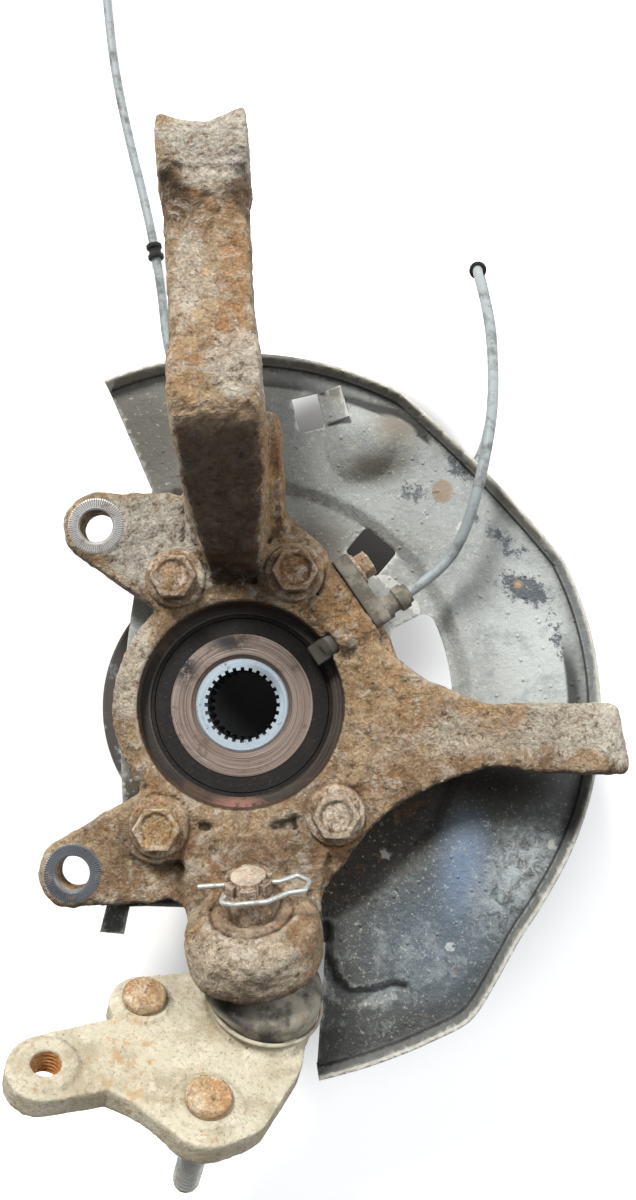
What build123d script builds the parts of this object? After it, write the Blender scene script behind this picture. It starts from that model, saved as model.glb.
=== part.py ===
from build123d import *
from math import cos, pi, radians, sin, tan
import os

# A front steering knuckle with its hub unit, brake dust shield, wheel-speed
# sensor and lower ball joint. Millimetres. The origin is on the hub axis, in
# the face that the wheel bolts to. +Z runs inboard along the hub axis, +Y
# towards the strut and +X along the steering arm.

# ---------------------------------------------------------------- fits
SLIP = 0.05          # radial clearance of a located fit
PLAY = 0.3           # gap between pieces that move past each other

# ---------------------------------------------------------------- levels
STUD_REACH = 34.0    # wheel studs below the wheel face
FLOOR_Z = -STUD_REACH
FLANGE_T = 10.0      # wheel flange
RING_LOW_Z = 13.5    # outboard end of the bearing's outer ring
LUG_T = 11.0         # bearing flange thickness
LUG_LOW_Z = 27.0
SHIELD_T = 1.2
SHIELD_Z = LUG_LOW_Z + LUG_T
SEAT_Z = SHIELD_Z + SHIELD_T     # knuckle's outboard face
BODY_Z = 60.0        # cast skin of the bearing carrier
FACE_Z = 63.0        # bore collar and bolt bosses
SPOT_Z = 62.4        # spot faces under the hub bolts
RING_TOP_Z = 54.0    # inboard end of the bearing's outer ring

# ---------------------------------------------------------------- bearing
BORE_R = 43.0        # knuckle bore
RING_R = BORE_R - SLIP
RING_NECK_R = BORE_R - 2.0       # outer ring outboard of its flange
RING_SHOULDER = 1.5
BALL_R = 5.5
BALLS = 13
PITCH_R = BORE_R - 11.5
GROOVE_R = BALL_R + PLAY
ROW_OUT_Z = 23.5
ROW_IN_Z = 41.0
LAND_STEP = 2.5
LAND_OUT_R = PITCH_R + LAND_STEP # bore of the outer ring between its tracks
LAND_IN_R = PITCH_R - LAND_STEP  # outside of the inner tracks
SEAL_SPAN = 7.3
SEAL_SEAT_R = PITCH_R + SEAL_SPAN
SEAL_DEPTH = 5.5
SEAL_WALL = 1.6
SHAFT_R = LAND_IN_R - 9.0        # hub shaft inside the inner race
RACE_LOW_Z = 33.0
RACE_TOP_Z = 53.4
RACE_LIP_R = LAND_IN_R + 1.2
CAGE_HALF = 1.5
CAGE_IN_R = PITCH_R - CAGE_HALF
CAGE_OUT_R = PITCH_R + CAGE_HALF
CAGE_BACK = 7.2      # depth of a cage behind the balls' centres
CAGE_FRONT = 3.0

# ---------------------------------------------------------------- hub
FLANGE_R = 67.0
PILOT_R = 28.0
PILOT_LEN = 9.0
NUT_POCKET_R = 23.0
NUT_POCKET_Z = 8.0
HUB_TOP_Z = 52.0
SPLINE_R = SHAFT_R - 5.2         # tips of the spline teeth
SPLINE_DEPTH = 1.3
SPLINE_TEETH = 28
WHEEL_STUDS = 5
WHEEL_PCD_R = 50.0
WHEEL_STUD_R = 6.0
WHEEL_KNURL_R = 6.4  # pressed shank inside the flange
STUD_HEAD_R = 7.2
STUD_HEAD_T = 2.8
JACK_HOLE_R = 3.4    # tapped holes that push the brake disc off

# ---------------------------------------------------------------- hub bolts
BOLT_PCD_R = BORE_R + 17.0
BOLT_ANGLES = (117.8, 68.2, -49.1, -123.7)
BOLT_R = 6.0
BOLT_HOLE_R = 6.6
BOLT_FLANGE_R = 13.0
BOLT_FLANGE_T = 3.2
BOLT_HEX = 17.0
BOLT_HEAD_H = 11.0
LUG_R = 12.5
BOLT_BOSS_R = 15.5
SPOT_R = 14.0

# ---------------------------------------------------------------- knuckle
RING_WALL = 11.0
COLLAR_WALL = 7.5
BORE_CHAMFER = 1.4
EAR_UP = (-61.9, 75.5)
EAR_LOW = (-68.6, -68.7)
EAR_R = 14.8
EAR_LOW_Z = 46.5
EAR_TOP_Z = 61.0
EAR_RING_R = 12.0
EAR_RING_H = 0.6
EAR_HOLE_R = 6.9
EYE_X = 141.0        # steering arm eye
EYE_Z = 72.0
EYE_TOP_R = 13.8     # the eye's boss widens downwards
EYE_LOW_R = 18.2
EYE_ROUND = 2.5
ARM_MID = (98.0, 63.0, 9.5)      # x, z and radius where the arm is thinnest
EYE_TOP_Y = 0.5
EYE_LOW_Y = -27.6
TAPER_BIG_R = 7.0
TAPER_SMALL_R = 5.6

# strut arm: two clamp bosses, bolt holes across the arm
STRUT_LOW = (-7.0, 114.8, 125.0)
STRUT_SPACING = 98.0
STRUT_DROP = 16.0    # the upper boss sits this much further outboard
STRUT_LEAN = 4.0     # degrees, towards -X
STRUT_HALF = 17.5
CHEEK_R = 18.0       # rims of the clamp bosses
STRUT_END = STRUT_SPACING + 2 * CHEEK_R  # past the arm's tip
CHEEK_IN = 14.5      # the rims end this far from the middle
SADDLE_R = 14.0      # hollow between the rims
NECK_HALF = 10.0     # half the thickness between the bosses
STRUT_HOLE_R = 7.25

# ---------------------------------------------------------------- ball joint
BALL_CENTRE = (8.8, -125.9, 56.0)
STUD_AXIS = Vector(-0.07, 0.904, 0.42).normalized()
PLATE_AXIS = Vector(0.22, 0.838, 0.499).normalized()
JOINT_BALL_R = 12.0
LINER_T = 2.7
LINER_TOP = 5.6
NECK_R = 7.2
NECK_TOP = 20.0
TAPER_LOW = 25.0     # underside of the knuckle's boss, from the ball centre
TAPER_TOP = 50.0     # nut seat
TAPER_LOW_R = 9.4
TAPER_TOP_R = 8.0
THREAD_R = 6.9
STUD_TIP = 66.0
TAPER_GAP = 0.1      # room round the stud's taper
BOSS_R = 27.8
BOSS_TOP_ROUND = 8.0
BOSS_LOW_ROUND = 5.0
PAD_R = 16.5
PAD_H = 1.4
NUT_HEX = 20.5
NUT_HEX_H = 9.5
NUT_CROWN_R = 9.6
NUT_CROWN_H = 5.5
NUT_SLOT_W = 3.2
NUT_SLOTS = 6
CLIP_R = 1.05
PLATE_TOP = 3.0      # above the ball centre, along the plate's axis
PLATE_T = 10.0
SOCKET_R = 23.0
SOCKET_TOP = 10.0
CUP_R = 19.5
CUP_LOW = -17.5
MOUTH_R = 15.5
CAP_T = 1.8
PIN_A = (-48.5, -7.0)
PIN_B = (-19.5, -49.0)
PLATE_HOLE = (-79.5, -43.0)
PIN_A_LOBE = 13.5
PIN_B_LOBE = 17.5
HOLE_LOBE = 14.5
PIN_R = 5.0
PIN_KNURL_R = 5.5    # pressed shank inside the plate
PIN_HEAD_R = 8.8
PIN_HEAD_H = 4.2
PIN_REACH = 34.0
HOLE_BOSS_R = 11.5
HOLE_BOSS_H = 1.6
PLATE_HOLE_R = 5.6
BOOT_R = 24.2
BOOT_WALL = 2.0
BOOT_RING_R = 0.8

# ---------------------------------------------------------------- speed sensor
SENSOR_ANGLE = 34.0
SENSOR_Z = 59.5
SENSOR_PAD = BORE_R + 22.0       # the flange seats this far from the hub axis
SENSOR_T = 7.0
NOSE_R = 4.9
NOSE_TIP = BORE_R - 6.0
TIP_HALF = 3.6
SENSOR_BOLT_OFF = 20.0
SENSOR_BOLT_R = 3.0
COLLAR_LEN = 13.5    # strain relief rings, out to where the lead starts
CABLE_R = 2.35

# ---------------------------------------------------------------- shield
RING_EDGE_R = 96.0   # outer edge of the flat seat, start of the step
STEP_RUN = 5.0
DISH_Z = 42.0        # plateau level at the step
DISH_RISE = 2.0
DISH_FLAT_R = 136.0
EDGE_R = 154.5
RIM_FLARE = 3.5
RIM_H = 8.0
SLOT_IN_R = 71.0     # curved opening beside the knuckle
SLOT_OUT_R = 92.5
SLOT_ANGLES = (-10.0, 27.0)
WINDOW_AT = (56.5, 68.0)         # inspection window by the sensor
WINDOW_SIZE = (18.0, 15.0)
TAB_AT = (28.5, 129.5)           # lanced tab near the upper edge
TAB_SIZE = (12.0, 16.0)
TAB_TURN = 14.0
TAB_TILT = 32.0
BULGE_AT = (52.0, 116.0)
BULGE_R = 15.0
BULGE_H = 3.5


def unit(angle):
    """Unit vector in the XY plane at an angle in degrees."""
    return Vector(cos(radians(angle)), sin(radians(angle)), 0)


def polar(radius, angle):
    """XY point at a radius and an angle in degrees."""
    return (radius * cos(radians(angle)), radius * sin(radians(angle)))


def taut(*discs):
    """Face inside the tight band round discs, each given as (x, y, radius)."""
    rims = [Edge.make_circle(radius, Plane((x, y, 0))) for x, y, radius in discs]
    return make_hull(rims, mode=Mode.PRIVATE)


def square_to(axis):
    """Unit vector square to an axis and as near +X as it can be."""
    return (Vector(1, 0, 0) - axis * axis.X).normalized()


bolt_points = [polar(BOLT_PCD_R, angle) for angle in BOLT_ANGLES]
bolt_ul, bolt_ur, bolt_lr, bolt_ll = bolt_points
stud_plane = Plane(BALL_CENTRE, x_dir=square_to(STUD_AXIS), z_dir=STUD_AXIS)
plate_plane = Plane(BALL_CENTRE, x_dir=square_to(PLATE_AXIS), z_dir=PLATE_AXIS)
sensor_out = unit(SENSOR_ANGLE)
sensor_side = unit(SENSOR_ANGLE + 90)
sensor_plane = Plane((0, 0, SENSOR_Z), x_dir=sensor_side, z_dir=sensor_out)
strut_across = unit(STRUT_LEAN)
strut_up = unit(STRUT_LEAN + 90)
strut_side = Plane(STRUT_LOW, x_dir=strut_up, z_dir=strut_across)
strut_plan = Plane((STRUT_LOW[0], STRUT_LOW[1], SEAT_Z), x_dir=strut_across)
strut_base_q = SEAT_Z - STRUT_LOW[2]

os.makedirs("parts", exist_ok=True)

# ================================================================ bearing
inner_mouth_z = RING_TOP_Z - SEAL_DEPTH
outer_mouth_z = RING_LOW_Z + SEAL_DEPTH

with BuildPart() as bearing_outer_ring:
    with BuildSketch(Plane.XY.offset(RING_LOW_Z)):
        Circle(RING_NECK_R)
    extrude(amount=LUG_LOW_Z - RING_LOW_Z)
    with BuildSketch(Plane.XY.offset(LUG_LOW_Z)):
        Circle(RING_R + RING_SHOULDER)
        for x, y in bolt_points:
            add(taut((0, 0, RING_R - 12), (x, y, LUG_R)))
    extrude(amount=LUG_T)
    with BuildSketch(Plane.XY.offset(SHIELD_Z)):
        Circle(RING_R)
    extrude(amount=RING_TOP_Z - SHIELD_Z)
    with BuildSketch(Plane.XY.offset(RING_LOW_Z)):
        Circle(LAND_OUT_R)
    extrude(amount=RING_TOP_Z - RING_LOW_Z, mode=Mode.SUBTRACT)
    for low in (RING_LOW_Z, inner_mouth_z):
        with BuildSketch(Plane.XY.offset(low)):
            Circle(SEAL_SEAT_R)
        extrude(amount=SEAL_DEPTH, mode=Mode.SUBTRACT)
    with Locations((0, 0, ROW_OUT_Z), (0, 0, ROW_IN_Z)):
        Torus(PITCH_R, GROOVE_R, mode=Mode.SUBTRACT)
    with BuildSketch(Plane.XY.offset(LUG_LOW_Z)):
        with Locations(*bolt_points):
            Circle(BOLT_R + SLIP)
    extrude(amount=LUG_T, mode=Mode.SUBTRACT)

with BuildPart() as inner_race:
    with BuildSketch(Plane.XY.offset(RACE_LOW_Z)):
        Circle(LAND_IN_R)
        Circle(SHAFT_R + SLIP, mode=Mode.SUBTRACT)
    extrude(amount=RACE_TOP_Z - RACE_LOW_Z)
    with BuildSketch(Plane.XY.offset(inner_mouth_z + 0.5)):
        Circle(RACE_LIP_R)
        Circle(LAND_IN_R - 1, mode=Mode.SUBTRACT)
    extrude(amount=RACE_TOP_Z - inner_mouth_z - 0.5)
    race_end = inner_race.edges().filter_by(GeomType.CIRCLE).group_by(Axis.Z)[-1]
    chamfer(race_end.sort_by(SortBy.RADIUS)[0], 1.6)
    with Locations((0, 0, ROW_IN_Z)):
        Torus(PITCH_R, GROOVE_R, mode=Mode.SUBTRACT)

with BuildPart() as hub:
    with BuildSketch(Plane.XY):
        Circle(FLANGE_R)
    extrude(amount=FLANGE_T)
    chamfer(hub.edges().filter_by(GeomType.CIRCLE), 1.2)
    with BuildSketch(Plane.XY.offset(-PILOT_LEN)):
        Circle(PILOT_R)
    extrude(amount=PILOT_LEN)
    with BuildSketch(Plane.XY.offset(FLANGE_T)):
        Circle(LAND_IN_R)
    extrude(amount=RACE_LOW_Z - FLANGE_T)
    with BuildSketch(Plane.XY.offset(RACE_LOW_Z)):
        Circle(SHAFT_R)
    extrude(amount=HUB_TOP_Z - RACE_LOW_Z)
    chamfer(hub.edges().filter_by(GeomType.CIRCLE).group_by(Axis.Z)[-1], 0.8)
    with Locations((0, 0, ROW_OUT_Z)):
        Torus(PITCH_R, GROOVE_R, mode=Mode.SUBTRACT)
    with BuildSketch(Plane.XY.offset(-PILOT_LEN)):
        Circle(NUT_POCKET_R)
    extrude(amount=PILOT_LEN + NUT_POCKET_Z, mode=Mode.SUBTRACT)
    with BuildSketch(Plane.XY.offset(NUT_POCKET_Z)):
        Circle(SPLINE_R)
        with PolarLocations(SPLINE_R, SPLINE_TEETH):
            Rectangle(2 * SPLINE_DEPTH, pi * SPLINE_R / SPLINE_TEETH)
    extrude(amount=HUB_TOP_Z - NUT_POCKET_Z, mode=Mode.SUBTRACT)
    with BuildSketch(Plane.XY):
        with PolarLocations(WHEEL_PCD_R, WHEEL_STUDS, start_angle=90):
            Circle(WHEEL_KNURL_R + SLIP)
        with PolarLocations(WHEEL_PCD_R, 2, start_angle=90 + 180 / WHEEL_STUDS):
            Circle(JACK_HOLE_R)
    extrude(amount=FLANGE_T, mode=Mode.SUBTRACT)

with BuildPart() as wheel_studs:
    with BuildSketch(Plane.XY.offset(FLOOR_Z)):
        with PolarLocations(WHEEL_PCD_R, WHEEL_STUDS, start_angle=90):
            Circle(WHEEL_STUD_R)
    extrude(amount=STUD_REACH)
    chamfer(wheel_studs.edges().group_by(Axis.Z)[0], 1.2)
    with BuildSketch(Plane.XY):
        with PolarLocations(WHEEL_PCD_R, WHEEL_STUDS, start_angle=90):
            Circle(WHEEL_KNURL_R)
    extrude(amount=FLANGE_T)
    with BuildSketch(Plane.XY.offset(FLANGE_T)):
        with PolarLocations(WHEEL_PCD_R, WHEEL_STUDS, start_angle=90):
            Circle(STUD_HEAD_R)
    extrude(amount=STUD_HEAD_T)

with BuildPart() as inboard_seal:
    with BuildSketch(Plane.XZ):
        with BuildLine():
            Polyline(
                (SEAL_SEAT_R, inner_mouth_z),
                (SEAL_SEAT_R, RING_TOP_Z - 0.8),
                (SEAL_SEAT_R - SEAL_WALL, RING_TOP_Z - 0.8),
                (SEAL_SEAT_R - SEAL_WALL, inner_mouth_z + 1.6),
                (RACE_LIP_R + 2.0, inner_mouth_z + 1.6),
                (RACE_LIP_R + 1.0, inner_mouth_z),
                close=True,
            )
        make_face()
    revolve(axis=Axis.Z)

with BuildPart() as encoder_ring:
    with BuildSketch(Plane.XZ):
        with BuildLine():
            Polyline(
                (RACE_LIP_R + SLIP, inner_mouth_z + 2.6),
                (RACE_LIP_R + SLIP, RACE_TOP_Z - 0.4),
                (SEAL_SEAT_R - 2.0, RACE_TOP_Z - 0.4),
                (SEAL_SEAT_R - 2.0, RACE_TOP_Z - 2.2),
                (RACE_LIP_R + 1.2, RACE_TOP_Z - 2.2),
                (RACE_LIP_R + 1.2, inner_mouth_z + 2.6),
                close=True,
            )
        make_face()
    revolve(axis=Axis.Z)

with BuildPart() as outboard_seal:
    with BuildSketch(Plane.XZ):
        with BuildLine():
            Polyline(
                (SEAL_SEAT_R, outer_mouth_z - 0.2),
                (SEAL_SEAT_R, RING_LOW_Z + 0.5),
                (LAND_IN_R + PLAY, RING_LOW_Z + 1.0),
                (LAND_IN_R + PLAY, RING_LOW_Z + 2.4),
                (SEAL_SEAT_R - SEAL_WALL, RING_LOW_Z + 2.2),
                (SEAL_SEAT_R - SEAL_WALL, outer_mouth_z - 0.2),
                close=True,
            )
        make_face()
    revolve(axis=Axis.Z)


def ball_row(level):
    """One row of bearing balls at a height on the hub axis."""
    with BuildPart() as row:
        with Locations(Plane.XY.offset(level)):
            with PolarLocations(PITCH_R, BALLS):
                Sphere(BALL_R)
    return row


def crown_cage(level, back):
    """Snap-in cage: a ring behind the balls (back is +1 or -1) with round pockets."""
    low = min(level - back * CAGE_FRONT, level + back * CAGE_BACK)
    with BuildPart() as cage:
        with BuildSketch(Plane.XY.offset(low)):
            Circle(CAGE_OUT_R)
            Circle(CAGE_IN_R, mode=Mode.SUBTRACT)
        extrude(amount=CAGE_FRONT + CAGE_BACK)
        with Locations(Plane.XY.offset(level)):
            with PolarLocations(PITCH_R, BALLS):
                Sphere(BALL_R + PLAY / 2, mode=Mode.SUBTRACT)
    return cage


inboard_balls = ball_row(ROW_IN_Z)
outboard_balls = ball_row(ROW_OUT_Z)
inboard_cage = crown_cage(ROW_IN_Z, -1)
outboard_cage = crown_cage(ROW_OUT_Z, 1)

# ================================================================ knuckle
with BuildPart() as steering_arm:
    with BuildSketch(Plane.XZ):
        add(taut((40, 51, 11.8), ARM_MID))
        add(taut(ARM_MID, (EYE_X, EYE_Z, EYE_TOP_R - 1)))
    extrude(amount=90, both=True)
    with BuildSketch(Plane.XY):
        with BuildLine():
            upper = ThreePointArc((40, 48), (68.5, 16.2), (102, EYE_TOP_Y))
            Line(upper @ 1, (EYE_X + 20, EYE_TOP_Y))
            Line((EYE_X + 20, EYE_TOP_Y), (EYE_X + 20, EYE_LOW_Y))
            Line((EYE_X + 20, EYE_LOW_Y), (EYE_X - 16, EYE_LOW_Y))
            Line((EYE_X - 16, EYE_LOW_Y), (105, -25.2))
            lower = ThreePointArc((105, -25.2), (74, -35.8), (38, -72))
            Line(lower @ 1, upper @ 0)
        make_face()
    extrude(amount=100, mode=Mode.INTERSECT)

with BuildPart() as arm_eye:
    with BuildSketch(Plane.XZ.offset(-EYE_TOP_Y)):
        with Locations((EYE_X, EYE_Z)):
            Circle(EYE_TOP_R)
    with BuildSketch(Plane.XZ.offset(-EYE_LOW_Y)):
        with Locations((EYE_X, EYE_Z)):
            Circle(EYE_LOW_R)
    loft()
    fillet(arm_eye.edges().filter_by(GeomType.CIRCLE), EYE_ROUND)

with BuildPart() as strut_arm:
    # neck between the clamp bosses, and the leg down to the carrier
    with BuildSketch(strut_side):
        add(taut((0, -3, NECK_HALF), (STRUT_SPACING, -STRUT_DROP - 2, NECK_HALF - 1)))
        add(taut((-6, 1, 15.5), (-50, strut_base_q + 16, 13), (-31, strut_base_q + 20, 11)))
    extrude(amount=STRUT_HALF - 1, both=True)
    with BuildSketch(strut_plan):
        with BuildLine():
            Polyline(
                (-7, -72), (-13, -50), (-STRUT_HALF, -26), (-STRUT_HALF, STRUT_END),
                (STRUT_HALF, STRUT_END), (STRUT_HALF, -26), (13, -50), (7, -72),
                close=True,
            )
        make_face()
    extrude(amount=STRUT_END, mode=Mode.INTERSECT)
    # clamp bosses, hollowed like saddles between their rims
    for boss_p, boss_q in ((0, 0), (STRUT_SPACING, -STRUT_DROP)):
        boss_at = strut_side.from_local_coords((boss_p, boss_q, 0))
        with BuildSketch(Plane(boss_at, x_dir=strut_across, z_dir=strut_up)):
            with BuildLine():
                Polyline((-CHEEK_IN, CHEEK_R), (-STRUT_HALF, CHEEK_R), (-STRUT_HALF, 0))
                Line((-STRUT_HALF, 0), (STRUT_HALF, 0))
                Polyline((STRUT_HALF, 0), (STRUT_HALF, CHEEK_R), (CHEEK_IN, CHEEK_R))
                ThreePointArc((CHEEK_IN, CHEEK_R), (0, SADDLE_R), (-CHEEK_IN, CHEEK_R))
            make_face()
        revolve(axis=Axis(boss_at, strut_across))
    # web that stands beside the leg
    with BuildSketch(strut_side.offset(-STRUT_HALF - 2)):
        add(taut((-40, strut_base_q + 12, 12), (-30, strut_base_q + 18, 10), (-6, -40, 9)))
    extrude(amount=2 * STRUT_HALF + 8)

with BuildPart() as joint_boss:
    with BuildSketch(stud_plane.offset(TAPER_LOW)):
        Circle(BOSS_R)
    extrude(amount=TAPER_TOP - PAD_H - TAPER_LOW)
    boss_rims = joint_boss.edges().filter_by(GeomType.CIRCLE).sort_by(Axis(BALL_CENTRE, STUD_AXIS))
    fillet(boss_rims[-1], BOSS_TOP_ROUND)
    fillet(boss_rims[0], BOSS_LOW_ROUND)

with BuildPart() as knuckle:
    # bearing carrier and webs
    with BuildSketch(Plane.XY.offset(SEAT_Z)):
        Circle(BORE_R + RING_WALL)
        add(taut((*EAR_UP, EAR_R), (-34, 76, EAR_R), (*bolt_ul, BOLT_BOSS_R)))
        add(taut((*bolt_ul, BOLT_BOSS_R), (-30, 66, 14), (2, 78, 14), (*bolt_ur, BOLT_BOSS_R + 1)))
        add(taut((*bolt_ur, BOLT_BOSS_R + 1), (48, 31, 13.5), (40, 0, 20)))
        add(taut((48, 31, 13.5), (52, 12, 15), (40, 0, 20)))
        add(taut((*bolt_lr, BOLT_BOSS_R), (46, -20, 16), (30, -30, 20)))
        add(taut((*EAR_LOW, EAR_R - 0.5), (*bolt_ll, BOLT_BOSS_R), (-36, -67, EAR_R - 0.5)))
        add(taut((*bolt_ll, BOLT_BOSS_R), (-20, -72, 11), (24, -68, 14), (*bolt_lr, BOLT_BOSS_R)))
    extrude(amount=BODY_Z - SEAT_Z)
    add(steering_arm.part)
    add(arm_eye.part)
    add(strut_arm.part)
    # collar round the bore and bolt bosses
    with BuildSketch(Plane.XY.offset(SEAT_Z)):
        Circle(BORE_R + COLLAR_WALL)
        with Locations(*bolt_points):
            Circle(BOLT_BOSS_R)
    extrude(amount=FACE_Z - SEAT_Z)
    # caliper ears
    with BuildSketch(Plane.XY.offset(EAR_LOW_Z)):
        with Locations(EAR_UP, EAR_LOW):
            Circle(EAR_R)
    extrude(amount=EAR_TOP_Z - EAR_LOW_Z)
    with BuildSketch(Plane.XY.offset(EAR_TOP_Z)):
        with Locations(EAR_UP, EAR_LOW):
            Circle(EAR_RING_R)
    extrude(amount=EAR_RING_H)
    # the ears are thinner than the carrier
    with BuildSketch(Plane.XY.offset(SEAT_Z)):
        with Locations(EAR_UP, EAR_LOW):
            Circle(EAR_R + 4)
    extrude(amount=EAR_LOW_Z - SEAT_Z, mode=Mode.SUBTRACT)
    # boss of the lower ball joint
    with BuildSketch(Plane.XY.offset(SEAT_Z)):
        with BuildLine():
            Polyline((-24, -52), (-21.7, -88), (33.2, -88), (36, -52), close=True)
        make_face()
    extrude(amount=BODY_Z + 4 - SEAT_Z)
    add(joint_boss.part)
    with BuildSketch(stud_plane.offset(TAPER_TOP - PAD_H)):
        Circle(PAD_R)
    extrude(amount=PAD_H)
    with BuildSketch(stud_plane.offset(TAPER_TOP)):
        Circle(PAD_R)
    extrude(amount=30, mode=Mode.SUBTRACT)
    # pad of the speed sensor
    with BuildSketch(sensor_plane.offset(BORE_R + 4)):
        with Locations((10, -5)):
            RectangleRounded(38, 22, 5)
        Circle(8.6)
    extrude(amount=SENSOR_PAD - BORE_R - 4)
    with BuildSketch(sensor_plane.offset(SENSOR_PAD)):
        with Locations((SENSOR_BOLT_OFF / 2 + 1.5, 0)):
            Rectangle(SENSOR_BOLT_OFF + 20, 19)
    extrude(amount=22, mode=Mode.SUBTRACT)
    # room for the shield's step
    with BuildSketch(Plane.XY.offset(SEAT_Z)):
        Circle(2 * EDGE_R)
        Circle(RING_EDGE_R - 1.5, mode=Mode.SUBTRACT)
    extrude(amount=EAR_LOW_Z - SEAT_Z, mode=Mode.SUBTRACT)
    # nothing reaches past the shield's seat, and the bore is clear
    with BuildSketch(Plane.XY.offset(SEAT_Z)):
        Circle(2 * EDGE_R)
    extrude(amount=-2 * SEAT_Z, mode=Mode.SUBTRACT)
    with BuildSketch(Plane.XY.offset(SEAT_Z)):
        Circle(BORE_R)
    extrude(amount=60, mode=Mode.SUBTRACT)
    # bolt holes and spot faces
    with BuildSketch(Plane.XY.offset(SPOT_Z)):
        with Locations(*bolt_points):
            Circle(SPOT_R)
    extrude(amount=14, mode=Mode.SUBTRACT)
    with BuildSketch(Plane.XY.offset(SEAT_Z)):
        with Locations(*bolt_points):
            Circle(BOLT_HOLE_R)
    extrude(amount=FACE_Z - SEAT_Z, mode=Mode.SUBTRACT)
    # caliper holes
    with BuildSketch(Plane.XY.offset(SEAT_Z)):
        with Locations(EAR_UP, EAR_LOW):
            Circle(EAR_HOLE_R)
    extrude(amount=FACE_Z - SEAT_Z, mode=Mode.SUBTRACT)
    # strut bolt holes
    with BuildSketch(strut_side):
        with Locations((0, 0), (STRUT_SPACING, -STRUT_DROP)):
            Circle(STRUT_HOLE_R)
    extrude(amount=STRUT_HALF + 2, both=True, mode=Mode.SUBTRACT)
    # tapered hole of the track rod end
    with BuildSketch(Plane.XZ.offset(-EYE_TOP_Y - 0.1)):
        with Locations((EYE_X, EYE_Z)):
            Circle(TAPER_BIG_R)
    with BuildSketch(Plane.XZ.offset(-EYE_LOW_Y + 0.1)):
        with Locations((EYE_X, EYE_Z)):
            Circle(TAPER_SMALL_R)
    loft(mode=Mode.SUBTRACT)
    # tapered hole of the ball stud
    with BuildSketch(stud_plane.offset(TAPER_LOW - 0.1)):
        Circle(TAPER_LOW_R + TAPER_GAP)
    with BuildSketch(stud_plane.offset(TAPER_TOP + 0.1)):
        Circle(TAPER_TOP_R + TAPER_GAP)
    loft(mode=Mode.SUBTRACT)
    # sensor bore and its bolt hole
    with BuildSketch(sensor_plane.offset(BORE_R - 4)):
        Circle(NOSE_R + SLIP)
    extrude(amount=SENSOR_PAD - BORE_R + 5, mode=Mode.SUBTRACT)
    with BuildSketch(sensor_plane.offset(SENSOR_PAD - 14)):
        with Locations((SENSOR_BOLT_OFF, 0)):
            Circle(SENSOR_BOLT_R + SLIP)
    extrude(amount=15, mode=Mode.SUBTRACT)
    bore_mouth = knuckle.edges().filter_by(GeomType.CIRCLE)
    bore_mouth = bore_mouth.filter_by(lambda e: abs(e.radius - BORE_R) < 0.01)
    chamfer(bore_mouth.sort_by(Axis.Z)[-1], BORE_CHAMFER)

# ================================================================ hub bolts
with BuildPart() as hub_bolts:
    with BuildSketch(Plane.XY.offset(SPOT_Z)):
        with Locations(*bolt_points):
            Circle(BOLT_FLANGE_R)
    extrude(amount=BOLT_FLANGE_T, taper=20)
    with BuildSketch(Plane.XY.offset(SPOT_Z + 1)):
        with Locations(*bolt_points):
            RegularPolygon(BOLT_HEX / 2, 6, major_radius=False)
    extrude(amount=BOLT_HEAD_H - 1)
    with BuildSketch(Plane.XY.offset(SPOT_Z + BOLT_HEAD_H)):
        with Locations(*bolt_points):
            Circle(BOLT_HEX * 0.4)
    extrude(amount=-1.6, mode=Mode.SUBTRACT)
    with BuildSketch(Plane.XY.offset(LUG_LOW_Z - 2)):
        with Locations(*bolt_points):
            Circle(BOLT_R)
    extrude(amount=SPOT_Z - LUG_LOW_Z + 2)

# ================================================================ ball joint
with BuildPart() as ball_stud:
    with Locations(BALL_CENTRE):
        Sphere(JOINT_BALL_R)
    with BuildSketch(stud_plane):
        Circle(NECK_R)
    extrude(amount=NECK_TOP)
    with BuildSketch(stud_plane.offset(NECK_TOP)):
        Circle(NECK_R)
    with BuildSketch(stud_plane.offset(TAPER_LOW)):
        Circle(TAPER_LOW_R)
    loft()
    with BuildSketch(stud_plane.offset(TAPER_LOW)):
        Circle(TAPER_LOW_R)
    with BuildSketch(stud_plane.offset(TAPER_TOP - 1.5)):
        Circle(TAPER_TOP_R)
    loft()
    with BuildSketch(stud_plane.offset(TAPER_TOP - 1.5)):
        Circle(THREAD_R)
    extrude(amount=STUD_TIP - TAPER_TOP + 1.5)
    clip_level = TAPER_TOP + NUT_HEX_H + NUT_CROWN_H / 2
    clip_plane = stud_plane.offset(clip_level)
    hole_plane = Plane(clip_plane.origin, x_dir=clip_plane.z_dir, z_dir=clip_plane.x_dir)
    with BuildSketch(hole_plane):
        Circle(CLIP_R + 0.3)
    extrude(amount=THREAD_R + 1, both=True, mode=Mode.SUBTRACT)

with BuildPart() as castle_nut:
    with BuildSketch(stud_plane.offset(TAPER_TOP)):
        RegularPolygon(NUT_HEX / 2, 6, major_radius=False, rotation=15)
    extrude(amount=NUT_HEX_H)
    with BuildSketch(stud_plane.offset(TAPER_TOP + NUT_HEX_H)):
        Circle(NUT_CROWN_R)
    extrude(amount=NUT_CROWN_H)
    with BuildSketch(stud_plane.offset(TAPER_TOP + NUT_HEX_H + 0.8)):
        with PolarLocations(0, NUT_SLOTS // 2, angular_range=180):
            Rectangle(3 * NUT_CROWN_R, NUT_SLOT_W)
    extrude(amount=NUT_CROWN_H, mode=Mode.SUBTRACT)
    with BuildSketch(stud_plane.offset(TAPER_TOP)):
        Circle(THREAD_R + SLIP)
    extrude(amount=NUT_HEX_H + NUT_CROWN_H, mode=Mode.SUBTRACT)

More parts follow.
